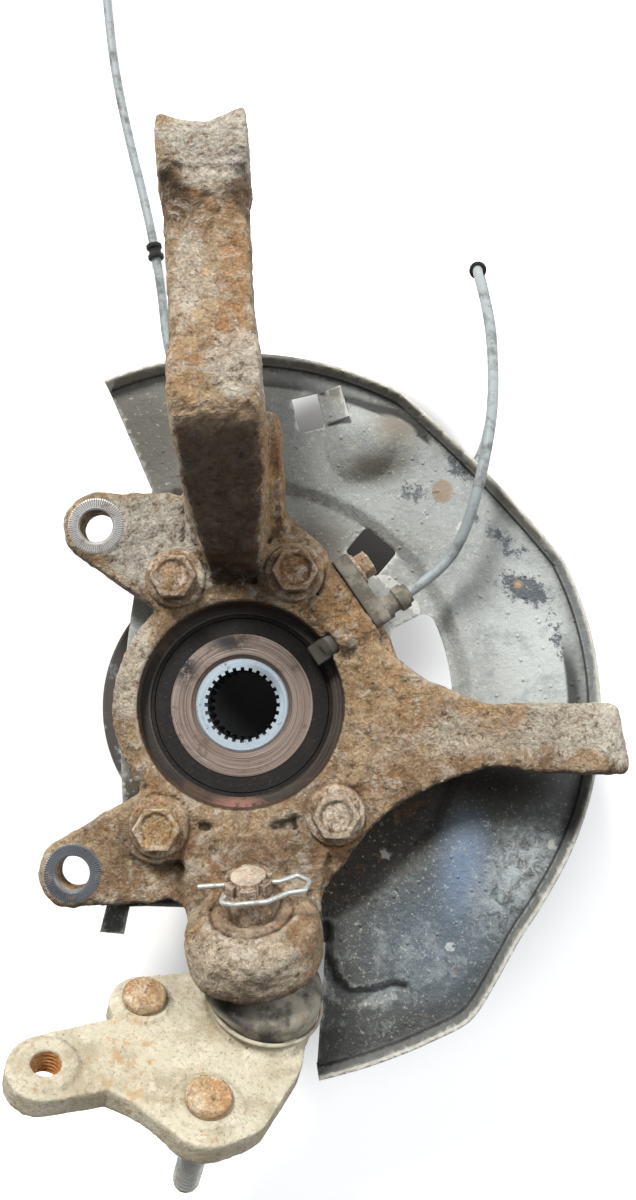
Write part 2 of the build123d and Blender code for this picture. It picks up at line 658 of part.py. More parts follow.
with BuildPart() as nut_clip:
    far = NUT_CROWN_R + 1.6
    with BuildLine(clip_plane):
        clip_path = FilletPolyline(
            (-20, 0), (12, 0), (19, 3.5), (24, -1), (22, -7), (15, -8), (7, -far - 1.5),
            (-5, -far - 2), (-11, -far), (-9, -7.5),
            radius=2.2,
        )
    with BuildSketch(Plane(clip_path @ 0, z_dir=clip_path % 0)):
        Circle(CLIP_R)
    sweep(path=clip_path)

with BuildPart() as ball_joint_housing:
    with BuildSketch(plate_plane.offset(PLATE_TOP)):
        add(taut((*PIN_A, PIN_A_LOBE), (*PIN_B, PIN_B_LOBE), (0, 0, SOCKET_R - 1)))
        add(taut((*PLATE_HOLE, HOLE_LOBE), (-55, -28, 12), (-40, -30, 12)))
    extrude(amount=-PLATE_T)
    with BuildSketch(plate_plane.offset(PLATE_TOP)):
        with Locations(PIN_B):
            Circle(PIN_HEAD_R + 3)
        with Locations(PIN_A):
            Circle(PIN_HEAD_R + 2)
        with Locations(PLATE_HOLE):
            Circle(HOLE_BOSS_R)
    extrude(amount=HOLE_BOSS_H)
    with BuildSketch(plate_plane.offset(CUP_LOW)):
        Circle(CUP_R)
    extrude(amount=PLATE_TOP - CUP_LOW)
    with BuildSketch(plate_plane.offset(PLATE_TOP)):
        Circle(SOCKET_R)
    extrude(amount=SOCKET_TOP - PLATE_TOP - 3, taper=14)
    with BuildSketch(plate_plane.offset(PLATE_TOP)):
        Circle(SOCKET_R - 2.7)
    extrude(amount=SOCKET_TOP - PLATE_TOP)
    # cavity, mouth and the seat of the cover
    with Locations(BALL_CENTRE):
        Sphere(JOINT_BALL_R + PLAY + LINER_T + PLAY, mode=Mode.SUBTRACT)
    with BuildSketch(plate_plane.offset(CUP_LOW)):
        Circle(JOINT_BALL_R + PLAY + LINER_T + PLAY)
    extrude(amount=-CUP_LOW, mode=Mode.SUBTRACT)
    with BuildSketch(plate_plane.offset(SOCKET_TOP)):
        Circle(MOUTH_R)
    with BuildSketch(plate_plane.offset(4)):
        Circle(MOUTH_R - 2.5)
    loft(mode=Mode.SUBTRACT)
    with BuildSketch(plate_plane.offset(PLATE_TOP + HOLE_BOSS_H)):
        with Locations(PIN_A, PIN_B):
            Circle(PIN_KNURL_R + SLIP)
        with Locations(PLATE_HOLE):
            Circle(PLATE_HOLE_R)
    extrude(amount=-PLATE_T - HOLE_BOSS_H, mode=Mode.SUBTRACT)

with BuildPart() as ball_seat:
    with Locations(BALL_CENTRE):
        Sphere(JOINT_BALL_R + PLAY + LINER_T)
        Sphere(JOINT_BALL_R + PLAY, mode=Mode.SUBTRACT)
    with BuildSketch(plate_plane.offset(LINER_TOP)):
        Circle(40)
    extrude(amount=30, mode=Mode.SUBTRACT)
    with BuildSketch(plate_plane.offset(-11)):
        Circle(40)
    extrude(amount=-30, mode=Mode.SUBTRACT)

with BuildPart() as ball_joint_cap:
    cap_r = JOINT_BALL_R + PLAY + LINER_T + PLAY
    with BuildSketch(plate_plane.offset(CUP_LOW + 0.4)):
        Circle(cap_r - SLIP)
    extrude(amount=CAP_T)

with BuildPart() as joint_studs:
    with BuildSketch(plate_plane.offset(PLATE_TOP + HOLE_BOSS_H)):
        with Locations(PIN_A, PIN_B):
            Circle(PIN_HEAD_R)
    extrude(amount=PIN_HEAD_H)
    chamfer(joint_studs.edges().group_by(Axis(BALL_CENTRE, PLATE_AXIS))[-1], 1.4)
    with BuildSketch(plate_plane.offset(PLATE_TOP + HOLE_BOSS_H)):
        with Locations(PIN_A, PIN_B):
            Circle(PIN_KNURL_R)
    extrude(amount=-PLATE_T - HOLE_BOSS_H)
    with BuildSketch(plate_plane.offset(PLATE_TOP - PLATE_T)):
        with Locations(PIN_A, PIN_B):
            Circle(PIN_R)
    extrude(amount=-PIN_REACH)

# The boot runs from the stud's shank to the socket's collar. Its hoops lie on
# planes that turn from the stud's axis to the plate's.
middle_axis = (STUD_AXIS + PLATE_AXIS).normalized()


def boot_hoops(inset):
    """Hoops from top to bottom; inset is the wall that is taken off."""
    middle = Plane(BALL_CENTRE, x_dir=square_to(middle_axis), z_dir=middle_axis)
    return (
        (stud_plane.offset(TAPER_LOW - 0.6), TAPER_LOW_R + 3.0 - inset),
        (stud_plane.offset(NECK_TOP - 0.5), TAPER_LOW_R + 4.0 - inset),
        (middle.offset(16.2), BOOT_R - 1.8 - inset),
        (middle.offset(13.6), BOOT_R - inset),
        (plate_plane.offset(SOCKET_TOP - 1.5), SOCKET_R - 0.3 - inset),
        (plate_plane.offset(PLATE_TOP + 4.3), SOCKET_R - 0.6 - inset),
    )


with BuildPart() as ball_joint_boot:
    for plane, radius in boot_hoops(0.0):
        with BuildSketch(plane):
            Circle(radius)
    loft(ruled=True)
    for plane, radius in boot_hoops(BOOT_WALL):
        with BuildSketch(plane):
            Circle(radius)
    loft(ruled=True, mode=Mode.SUBTRACT)

with BuildPart() as boot_ring_upper:
    upper_ring = stud_plane.offset(NECK_TOP + 2.2)
    with Locations(upper_ring):
        Torus(TAPER_LOW_R + 4.6, BOOT_RING_R)

with BuildPart() as boot_ring_lower:
    lower_ring = plate_plane.offset(PLATE_TOP + 4.9)
    with Locations(lower_ring):
        Torus(SOCKET_R + 0.55, BOOT_RING_R)

# ================================================================ speed sensor
with BuildPart() as abs_sensor:
    with BuildSketch(sensor_plane.offset(SENSOR_PAD)):
        with Locations((11.5, 0)):
            RectangleRounded(34, 15, 3)
    extrude(amount=SENSOR_T)
    with BuildSketch(sensor_plane.offset(SENSOR_PAD + SENSOR_T)):
        with Locations((1.2, 0)):
            RectangleRounded(12, 12, 2)
    extrude(amount=0.8)
    for start, length, radius in ((0.8, 2.2, 5.4), (3.0, 4.0, 4.2), (7.0, 4.5, 5.6), (11.5, 2.0, 4.4)):
        with BuildSketch(sensor_plane.offset(SENSOR_PAD + SENSOR_T + start)):
            Circle(radius)
        extrude(amount=length)
    with BuildSketch(sensor_plane.offset(NOSE_TIP + 4)):
        Circle(NOSE_R)
    extrude(amount=SENSOR_PAD - NOSE_TIP - 4)
    with BuildSketch(sensor_plane.offset(NOSE_TIP - 1)):
        Rectangle(9, 2 * TIP_HALF)
    extrude(amount=6)
    with BuildSketch(sensor_plane.offset(SENSOR_PAD)):
        with Locations((SENSOR_BOLT_OFF, 0)):
            Circle(SENSOR_BOLT_R + 0.2)
    extrude(amount=SENSOR_T, mode=Mode.SUBTRACT)

with BuildPart() as abs_sensor_bolt:
    seat = SENSOR_PAD + SENSOR_T
    with BuildSketch(sensor_plane.offset(seat)):
        with Locations((SENSOR_BOLT_OFF, 0)):
            Circle(7.2)
    extrude(amount=1.6)
    with BuildSketch(sensor_plane.offset(seat + 1.6)):
        with Locations((SENSOR_BOLT_OFF, 0)):
            RegularPolygon(5, 6, major_radius=False)
    extrude(amount=5.4)
    with BuildSketch(sensor_plane.offset(seat)):
        with Locations((SENSOR_BOLT_OFF, 0)):
            Circle(SENSOR_BOLT_R)
    extrude(amount=-SENSOR_T - 12)

# ================================================================ sensor lead
collar_end = sensor_plane.origin + sensor_out * (SENSOR_PAD + SENSOR_T + COLLAR_LEN)
LEAD_Z = FLOOR_Z + CABLE_R
GROMMET_R = 4.2
GROMMET_Z = FLOOR_Z + GROMMET_R
GROMMET_RUNS = (9, 25)           # runs of the lead that carry a grommet
GROMMET_RINGS = ((-4.0, 2.5, GROMMET_R), (-1.5, 3.0, GROMMET_R - 1.0), (1.5, 2.5, GROMMET_R))
PLUG_HALF = 7.5
PLUG_Z = FLOOR_Z + PLUG_HALF
lead_points = [
    tuple(collar_end),
    tuple(collar_end + sensor_out * 18),
    (94.0, 72.0, 65.0),
    (98.6, 88.0, 70.0),
    (103.0, 106.0, 69.5),
    (107.0, 125.0, 64.0),
    (109.8, 145.0, 54.0),
    (111.6, 167.0, 41.5),
    (111.6, 188.0, 29.3),
    (110.3, 208.8, 15.9),
    (114.2, 216.9, -1.2),
    (120.2, 213.1, -18.6),
    (126.0, 199.1, -29.5),
    (127.3, 178.0, LEAD_Z),
    (126.0, 152.0, LEAD_Z),
    (119.5, 126.0, LEAD_Z),
    (102.0, 105.0, LEAD_Z),
    (77.0, 97.5, LEAD_Z),
    (52.5, 108.0, LEAD_Z),
    (32.0, 126.0, LEAD_Z),
    (8.0, 138.5, LEAD_Z),
    (-19.0, 144.5, LEAD_Z),
    (-37.5, 163.0, LEAD_Z),
    (-44.5, 187.0, LEAD_Z),
    (-47.0, 210.0, LEAD_Z),
    (-49.5, 228.0, GROMMET_Z),
    (-53.0, 246.0, GROMMET_Z),
    (-58.5, 270.0, LEAD_Z),
    (-67.5, 305.0, LEAD_Z),
    (-75.0, 341.0, LEAD_Z),
    (-79.0, 375.0, LEAD_Z + 1),
    (-80.0, 394.0, PLUG_Z),
    (-81.0, 409.0, PLUG_Z),
]


def corner_radii(points):
    """Widest arc that each corner of a route leaves room for."""
    radii = []
    for before, corner, after in zip(points, points[1:], points[2:]):
        run_in = Vector(*corner) - Vector(*before)
        run_out = Vector(*after) - Vector(*corner)
        half_turn = radians(run_in.get_angle(run_out) / 2)
        radii.append(0.45 * min(run_in.length, run_out.length) / tan(half_turn))
    return radii


lead_radii = corner_radii(lead_points)

with BuildPart() as abs_cable:
    with BuildLine():
        lead_path = FilletPolyline(*lead_points, radius=lead_radii)
    with BuildSketch(Plane(lead_path @ 0, z_dir=lead_path % 0)):
        Circle(CABLE_R)
    sweep(path=lead_path)

lead_expected = pi * CABLE_R**2 * lead_path.length
print("lead radii", [round(radius, 1) for radius in lead_radii])
print("lead length", round(lead_path.length, 1), "volume ratio", abs_cable.part.volume / lead_expected)


def run_plane(index, share):
    """Plane square to one run of the lead, at a share of its length."""
    start = Vector(*lead_points[index])
    run = Vector(*lead_points[index + 1]) - start
    return Plane(start + run * share, z_dir=run)


with BuildPart() as cable_grommets:
    for index in GROMMET_RUNS:
        middle_plane = run_plane(index, 0.5)
        for start, length, radius in GROMMET_RINGS:
            with BuildSketch(middle_plane.offset(start)):
                Circle(radius)
                Circle(CABLE_R + SLIP, mode=Mode.SUBTRACT)
            extrude(amount=length)

plug_along = Vector(*lead_points[-1]) - Vector(*lead_points[-2])
plug_plane = Plane(lead_points[-1], x_dir=plug_along.cross(Vector(0, 0, 1)), z_dir=plug_along)

with BuildPart() as abs_connector:
    with BuildSketch(plug_plane):
        Circle(4.6)
    extrude(amount=8)
    with BuildSketch(plug_plane.offset(8)):
        RectangleRounded(19, 2 * PLUG_HALF, 2)
    extrude(amount=27)
    with BuildSketch(plug_plane.offset(20)):
        RectangleRounded(16, 2 * PLUG_HALF - 3, 1.2)
    extrude(amount=15, mode=Mode.SUBTRACT)
    with BuildSketch(plug_plane.offset(20)):
        with Locations((-3.5, 0), (3.5, 0)):
            Rectangle(1.6, 0.8)
    extrude(amount=10)
    with BuildSketch(plug_plane.offset(12)):
        with Locations((0, -PLUG_HALF - 0.4)):
            Rectangle(7, 2.8)
    extrude(amount=16)

# ================================================================ dust shield
left_cut = ((-61.4, 141.5), (-41.0, 94.7))
joint_cut_x = 36.0   # the shield stops here, beside the ball joint


def edge_arcs(inset):
    """The arcs of the outer edge, drawn this far inside it."""
    reach = EDGE_R - inset
    high = ThreePointArc(polar(reach, 113.5), polar(reach, 88), polar(reach - 0.5, 63.2))
    flat = ThreePointArc(high @ 1, polar(reach - 7.1, 44.7), polar(reach - 1.2, 24.5))
    side = ThreePointArc(flat @ 1, polar(reach, -3), polar(reach - 1.6, -28))
    knee = ThreePointArc(side @ 1, polar(reach - 1.2, -35), polar(reach + 2.2, -42))
    low = ThreePointArc(knee @ 1, polar(reach + 6.4, -60), polar(reach + 2.2, -78))
    return high, flat, side, knee, low


def rim_band(level, inset):
    """Thin band along the outer edge at one level."""
    outside = edge_arcs(inset)
    inside = edge_arcs(inset + SHIELD_T)
    start = Line(outside[0] @ 0, inside[0] @ 0)
    end = Line(outside[-1] @ 1, inside[-1] @ 1)
    return Plane.XY.offset(level) * make_face([*outside, end, *inside, start])


rim_foot = rim_band(DISH_Z + DISH_RISE, RIM_FLARE)
rim_lip = rim_band(DISH_Z + DISH_RISE + RIM_H, 0)

BULGE_BASE_Z = DISH_Z + DISH_RISE / 2
bulge_sphere_r = (BULGE_R**2 + BULGE_H**2) / (2 * BULGE_H)
bulge_at = (*BULGE_AT, DISH_Z + DISH_RISE + SHIELD_T + BULGE_H - bulge_sphere_r)

with BuildPart() as bulge:
    with Locations(bulge_at):
        Sphere(bulge_sphere_r)
        Sphere(bulge_sphere_r - SHIELD_T, mode=Mode.SUBTRACT)
    with BuildSketch(Plane.XY.offset(BULGE_BASE_Z)):
        Circle(2 * EDGE_R)
    extrude(amount=-4 * bulge_sphere_r, mode=Mode.SUBTRACT)

with BuildPart() as dust_shield:
    step_top_r = RING_EDGE_R + STEP_RUN
    with BuildSketch(Plane.XZ):
        with BuildLine():
            Polyline(
                (BORE_R + 0.6, SHIELD_Z),
                (RING_EDGE_R, SHIELD_Z),
                (step_top_r, DISH_Z),
                (DISH_FLAT_R, DISH_Z + DISH_RISE),
                (2 * EDGE_R, DISH_Z + DISH_RISE),
                (2 * EDGE_R, DISH_Z + DISH_RISE + SHIELD_T),
                (DISH_FLAT_R, DISH_Z + DISH_RISE + SHIELD_T),
                (step_top_r - 0.5, DISH_Z + SHIELD_T),
                (RING_EDGE_R - 0.5, SHIELD_Z + SHIELD_T),
                (BORE_R + 0.6, SHIELD_Z + SHIELD_T),
                close=True,
            )
        make_face()
    revolve(axis=Axis.Z)
    with BuildSketch(Plane.XY.offset(SHIELD_Z - 5)):
        with BuildLine():
            arcs = edge_arcs(RIM_FLARE)
            add(arcs)
            Line(arcs[-1] @ 1, (joint_cut_x, -102))
            back = ThreePointArc((joint_cut_x, -102), (8, -96.5), (-20, -87))
            Polyline(back @ 1, (-48, -86), (-50, -97), (-60, -96), polar(76, -132))
            left = ThreePointArc(polar(76, -132), polar(53, 180), polar(76, 128))
            Line(left @ 1, left_cut[1])
            Line(left_cut[1], arcs[0] @ 0)
        make_face()
    extrude(amount=40, mode=Mode.INTERSECT)
    # turned-up rim, flared outwards
    loft([rim_foot.face(), rim_lip.face()], ruled=True)
    # bolt holes
    with BuildSketch(Plane.XY.offset(SHIELD_Z - 1)):
        with Locations(*bolt_points):
            Circle(BOLT_HOLE_R)
    extrude(amount=SHIELD_T + 2, mode=Mode.SUBTRACT)
    # curved opening beside the steering arm
    with BuildSketch(Plane.XY.offset(SHIELD_Z - 5)):
        low_angle, high_angle = SLOT_ANGLES
        with BuildLine():
            outer = CenterArc((0, 0), SLOT_OUT_R, low_angle, high_angle - low_angle)
            inner_arc = CenterArc((0, 0), SLOT_IN_R, low_angle, high_angle - low_angle)
            Line(outer @ 0, inner_arc @ 0)
            Line(outer @ 1, inner_arc @ 1)
        make_face()
        fillet(vertices(), 5)
    extrude(amount=30, mode=Mode.SUBTRACT)
    # inspection window by the sensor, and the opening that a tab was cut from
    with BuildSketch(Plane.XY.offset(SHIELD_Z - 5)):
        with Locations(Location(WINDOW_AT, -40)):
            RectangleRounded(*WINDOW_SIZE, 2)
        with Locations(Location(TAB_AT, TAB_TURN)):
            Rectangle(*TAB_SIZE)
    extrude(amount=30, mode=Mode.SUBTRACT)
    # the tab, bent up along the opening's side
    tab_root = unit(TAB_TURN) * (TAB_SIZE[0] / 2) + Vector(*TAB_AT, DISH_Z + DISH_RISE)
    tab_rise = unit(TAB_TURN) * cos(radians(TAB_TILT)) + Vector(0, 0, sin(radians(TAB_TILT)))
    with BuildSketch(Plane(tab_root, x_dir=unit(TAB_TURN + 90), z_dir=tab_rise)):
        Rectangle(TAB_SIZE[1] - 1, SHIELD_T)
    extrude(amount=TAB_SIZE[0])
    # round bulge pressed inboard
    with Locations(bulge_at):
        Sphere(bulge_sphere_r - SHIELD_T, mode=Mode.SUBTRACT)
    add(bulge.part)

pieces = {
    "bearing_outer_ring": bearing_outer_ring,
    "inner_race": inner_race,
    "hub": hub,
    "wheel_studs": wheel_studs,
    "inboard_seal": inboard_seal,
    "encoder_ring": encoder_ring,
    "outboard_seal": outboard_seal,
    "inboard_balls": inboard_balls,
    "outboard_balls": outboard_balls,
    "inboard_cage": inboard_cage,
    "outboard_cage": outboard_cage,
    "knuckle": knuckle,
    "hub_bolts": hub_bolts,
    "ball_stud": ball_stud,
    "castle_nut": castle_nut,
    "nut_clip": nut_clip,
    "ball_joint_housing": ball_joint_housing,
    "ball_seat": ball_seat,
    "ball_joint_cap": ball_joint_cap,
    "joint_studs": joint_studs,
    "ball_joint_boot": ball_joint_boot,
    "boot_ring_upper": boot_ring_upper,
    "boot_ring_lower": boot_ring_lower,
    "abs_sensor": abs_sensor,
    "abs_sensor_bolt": abs_sensor_bolt,
    "abs_cable": abs_cable,
    "cable_grommets": cable_grommets,
    "abs_connector": abs_connector,
    "dust_shield": dust_shield,
}
for name, piece in pieces.items():
    piece.part.label = name
    export_step(piece.part, f"parts/{name}.step")
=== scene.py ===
import math

import bmesh
import bpy
import numpy as np
from mathutils import Matrix, Vector


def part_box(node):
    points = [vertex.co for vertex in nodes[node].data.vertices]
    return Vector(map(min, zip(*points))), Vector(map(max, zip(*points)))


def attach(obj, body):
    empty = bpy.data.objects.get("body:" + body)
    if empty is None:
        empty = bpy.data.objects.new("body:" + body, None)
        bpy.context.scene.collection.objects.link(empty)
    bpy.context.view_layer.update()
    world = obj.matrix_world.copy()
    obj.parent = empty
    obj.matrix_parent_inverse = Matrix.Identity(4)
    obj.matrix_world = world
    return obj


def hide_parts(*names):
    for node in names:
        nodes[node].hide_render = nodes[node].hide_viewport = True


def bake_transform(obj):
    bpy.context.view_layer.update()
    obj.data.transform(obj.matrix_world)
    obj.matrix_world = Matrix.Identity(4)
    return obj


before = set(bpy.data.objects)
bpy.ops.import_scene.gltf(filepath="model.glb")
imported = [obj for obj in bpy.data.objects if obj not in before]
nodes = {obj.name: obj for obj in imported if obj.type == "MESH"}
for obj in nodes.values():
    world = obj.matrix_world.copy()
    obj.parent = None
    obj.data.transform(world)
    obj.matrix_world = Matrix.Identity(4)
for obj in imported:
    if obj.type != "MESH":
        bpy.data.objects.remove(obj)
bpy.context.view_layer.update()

MM = 0.001
scene = bpy.context.scene
scene.view_settings.view_transform = "Standard"


# ------------------------------------------------------------ frame sizes
FLOOR_Z = -34.0
CABLE_R = 2.35
BALL_CENTRE = Vector((8.8, -125.9, 56.0))
STUD_AXIS = Vector((-0.07, 0.904, 0.42)).normalized()
PLATE_AXIS = Vector((0.22, 0.838, 0.499)).normalized()
EARS = ((-61.9, 75.5), (-68.6, -68.7))
BOLT_ANGLES = (117.8, 68.2, -49.1, -123.7)
BOLT_PCD_R = 60.0
EAR_FACE_Z = 61.6
SENSOR_ANGLE = math.radians(34)


def mm(*values):
    """Vector in metres from millimetres."""
    return Vector(values) * MM


def srgb(r, g, b):
    """Linear colour from 8-bit display values."""
    out = []
    for c in (r, g, b):
        c /= 255
        out.append(c / 12.92 if c <= 0.04045 else ((c + 0.055) / 1.055) ** 2.4)
    return (*out, 1.0)


# ------------------------------------------------------------ camera
PHOTO_H_PX = 1200
F_PX = 1040.0                     # focal length
VANISH_PX = (28, 100)             # from the hub axis's vanishing point to the photo's middle
FILM_MM = 36.0
CAMERA_AT = (20.40, 2.07, 499.20)
z_cam = Vector((*VANISH_PX, F_PX)).normalized()
x_cam = (Vector((1, 0, 0)) - z_cam * z_cam.x).normalized()
y_cam = z_cam.cross(x_cam)
to_camera = Matrix((
    (x_cam.x, y_cam.x, z_cam.x),
    (x_cam.y, y_cam.y, z_cam.y),
    (x_cam.z, y_cam.z, z_cam.z),
))
camera_data = bpy.data.cameras.new("camera")
camera_data.sensor_fit = "AUTO"
camera_data.sensor_width = FILM_MM
camera_data.lens = FILM_MM * F_PX / PHOTO_H_PX
camera_data.clip_start = 0.01
camera = bpy.data.objects.new("camera", camera_data)
camera.matrix_world = Matrix.Translation(mm(*CAMERA_AT)) @ to_camera.transposed().to_4x4()
scene.collection.objects.link(camera)
scene.camera = camera


# ------------------------------------------------------------ materials
class Paint:
    """A Principled material built from a base and masked layers."""

    def __init__(self, name, colour, rough, metal=0.0):
        self.mat = bpy.data.materials.new(name)
        self.mat.use_nodes = True
        self.tree = self.mat.node_tree
        self.tree.nodes.clear()
        self.out = self.node("ShaderNodeOutputMaterial")
        self.bsdf = self.node("ShaderNodeBsdfPrincipled")
        self.tree.links.new(self.bsdf.outputs[0], self.out.inputs[0])
        self.coord = self.node("ShaderNodeTexCoord").outputs["Object"]
        self.bsdf.inputs["Base Color"].default_value = colour
        self.bsdf.inputs["Roughness"].default_value = rough
        self.bsdf.inputs["Metallic"].default_value = metal
        self.colour = colour
        self.rough = rough
        self.metal = metal
        self.height = None

    def node(self, kind, **settings):
        n = self.tree.nodes.new(kind)
        for key, value in settings.items():
            setattr(n, key, value)
        return n

    def link(self, source, target):
        if isinstance(source, bpy.types.NodeSocket):
            self.tree.links.new(source, target)
        else:
            target.default_value = source

    def math(self, operation, a, b=0.0, c=0.0, clamp=False):
        n = self.node("ShaderNodeMath", operation=operation, use_clamp=clamp)
        self.link(a, n.inputs[0])
        self.link(b, n.inputs[1])
        self.link(c, n.inputs[2])
        return n.outputs[0]

    def ramp(self, value, low, high):
        n = self.node("ShaderNodeMapRange", interpolation_type="SMOOTHSTEP", clamp=True)
        self.link(value, n.inputs["Value"])
        n.inputs["From Min"].default_value = low
        n.inputs["From Max"].default_value = high
        return n.outputs[0]

    def noise(self, scale, detail=6.0, rough=0.6, stretch=None, distort=0.0, seed=0.0):
        n = self.node("ShaderNodeTexNoise", noise_dimensions="3D")
        n.inputs["Scale"].default_value = scale
        n.inputs["Detail"].default_value = detail
        n.inputs["Roughness"].default_value = rough
        n.inputs["Distortion"].default_value = distort
        m = self.node("ShaderNodeMapping")
        m.inputs["Location"].default_value = (seed, seed * 0.37, seed * 0.71)
        if stretch:
            m.inputs["Scale"].default_value = stretch
        self.link(self.coord, m.inputs["Vector"])
        self.link(m.outputs[0], n.inputs["Vector"])
        return n.outputs[0]

    def spots(self, low, high, *noise, **more):
        """Patches of noise, from 0 at level low to 1 at high."""
        return self.ramp(self.noise(*noise, **more), low, high)

    def cells(self, scale, feature="F1"):
        n = self.node("ShaderNodeTexVoronoi", feature=feature)
        n.inputs["Scale"].default_value = scale
        self.link(self.coord, n.inputs["Vector"])
        return n.outputs["Distance"]

    def facing_up(self, low, high):
        g = self.node("ShaderNodeNewGeometry")
        s = self.node("ShaderNodeSeparateXYZ")
        self.link(g.outputs["Normal"], s.inputs[0])
        return self.ramp(s.outputs["Z"], low, high)

    def facing(self, way, low, high):
        g = self.node("ShaderNodeNewGeometry")
        n = self.node("ShaderNodeVectorMath", operation="DOT_PRODUCT")
        self.link(g.outputs["True Normal"], n.inputs[0])
        n.inputs[1].default_value = way
        return self.ramp(n.outputs["Value"], low, high)

    def edges(self, low, high):
        g = self.node("ShaderNodeNewGeometry")
        return self.ramp(g.outputs["Pointiness"], low, high)

    def axis_value(self, axis, centre=(0, 0, 0)):
        """Distance along an axis from a centre, in metres."""
        d = self.node("ShaderNodeVectorMath", operation="SUBTRACT")
        self.link(self.coord, d.inputs[0])
        d.inputs[1].default_value = centre
        n = self.node("ShaderNodeVectorMath", operation="DOT_PRODUCT")
        self.link(d.outputs[0], n.inputs[0])
        n.inputs[1].default_value = axis
        return n.outputs["Value"]

    def near(self, centre, low, high, flat=True):
        """1 inside radius low of a centre and 0 outside high; flat ignores Z."""
        d = self.node("ShaderNodeVectorMath", operation="SUBTRACT")
        self.link(self.coord, d.inputs[0])
        d.inputs[1].default_value = centre
        m = self.node("ShaderNodeVectorMath", operation="MULTIPLY")
        self.link(d.outputs[0], m.inputs[0])
        m.inputs[1].default_value = (1, 1, 0 if flat else 1)
        n = self.node("ShaderNodeVectorMath", operation="LENGTH")
        self.link(m.outputs[0], n.inputs[0])
        return self.math("SUBTRACT", 1.0, self.ramp(n.outputs["Value"], low, high))

    def blot(self, x, y, wide, tall, turn=0.0):
        """1 in the middle of an ellipse in plan, in millimetres, and 0 at its edge."""
        m = self.node("ShaderNodeMapping", vector_type="TEXTURE")
        m.inputs["Location"].default_value = (x * MM, y * MM, 0)
        m.inputs["Rotation"].default_value = (0, 0, math.radians(turn))
        m.inputs["Scale"].default_value = (wide * MM, tall * MM, 1e6)
        self.link(self.coord, m.inputs["Vector"])
        n = self.node("ShaderNodeVectorMath", operation="LENGTH")
        self.link(m.outputs[0], n.inputs[0])
        return self.math("SUBTRACT", 1.0, self.ramp(n.outputs["Value"], 0.1, 1.0))

    def rings(self, across, along, detail=5.0, rough=0.65, seed=0.0):
        """Noise drawn out into rings about the Z axis, as turning and wiping leave it."""
        flat = self.node("ShaderNodeVectorMath", operation="MULTIPLY")
        self.link(self.coord, flat.inputs[0])
        flat.inputs[1].default_value = (1, 1, 0)
        away = self.node("ShaderNodeVectorMath", operation="LENGTH")
        self.link(flat.outputs[0], away.inputs[0])
        parts = self.node("ShaderNodeSeparateXYZ")
        self.link(self.coord, parts.inputs[0])
        place = self.node("ShaderNodeCombineXYZ")
        self.link(self.math("MULTIPLY", away.outputs["Value"], across), place.inputs[0])
        self.link(self.math("MULTIPLY_ADD", parts.outputs[0], along, seed), place.inputs[1])
        self.link(self.math("MULTIPLY", parts.outputs[1], along), place.inputs[2])
        n = self.node("ShaderNodeTexNoise", noise_dimensions="3D")
        n.inputs["Scale"].default_value = 1.0
        n.inputs["Detail"].default_value = detail
        n.inputs["Roughness"].default_value = rough
        self.link(place.outputs[0], n.inputs["Vector"])
        return n.outputs[0]

    def both(self, a, b):
        return self.math("MULTIPLY", a, b)

    def layer(self, mask, colour=None, rough=None, metal=None, amount=1.0):
        """Lays a colour, roughness or metal over what is below it."""
        if amount != 1.0:
            mask = self.math("MULTIPLY", mask, amount)
        if colour is not None:
            n = self.node("ShaderNodeMix", data_type="RGBA")
            self.link(mask, n.inputs[0])
            self.link(self.colour, n.inputs[6])
            self.link(colour, n.inputs[7])
            self.colour = n.outputs[2]
        for key, value in (("rough", rough), ("metal", metal)):
            if value is not None:
                n = self.node("ShaderNodeMix", data_type="FLOAT")
                self.link(mask, n.inputs[0])
                self.link(getattr(self, key), n.inputs[2])
                self.link(value, n.inputs[3])
                setattr(self, key, n.outputs[0])
        return self

    def raise_by(self, value, millimetres):
        """Adds a value to the bump's height."""
        h = self.math("MULTIPLY", value, millimetres * MM)
        self.height = h if self.height is None else self.math("ADD", self.height, h)
        return self

    def done(self, spec=0.5):
        for key, socket in (("colour", "Base Color"), ("rough", "Roughness"), ("metal", "Metallic")):
            value = getattr(self, key)
            if isinstance(value, bpy.types.NodeSocket):
                self.tree.links.new(value, self.bsdf.inputs[socket])
        self.bsdf.inputs["Specular IOR Level"].default_value = spec
        if self.height is not None:
            b = self.node("ShaderNodeBump")
            b.inputs["Strength"].default_value = 1.0
            b.inputs["Distance"].default_value = 1.0
            self.link(self.height, b.inputs["Height"])
            self.tree.links.new(b.outputs[0], self.bsdf.inputs["Normal"])
        return self.mat


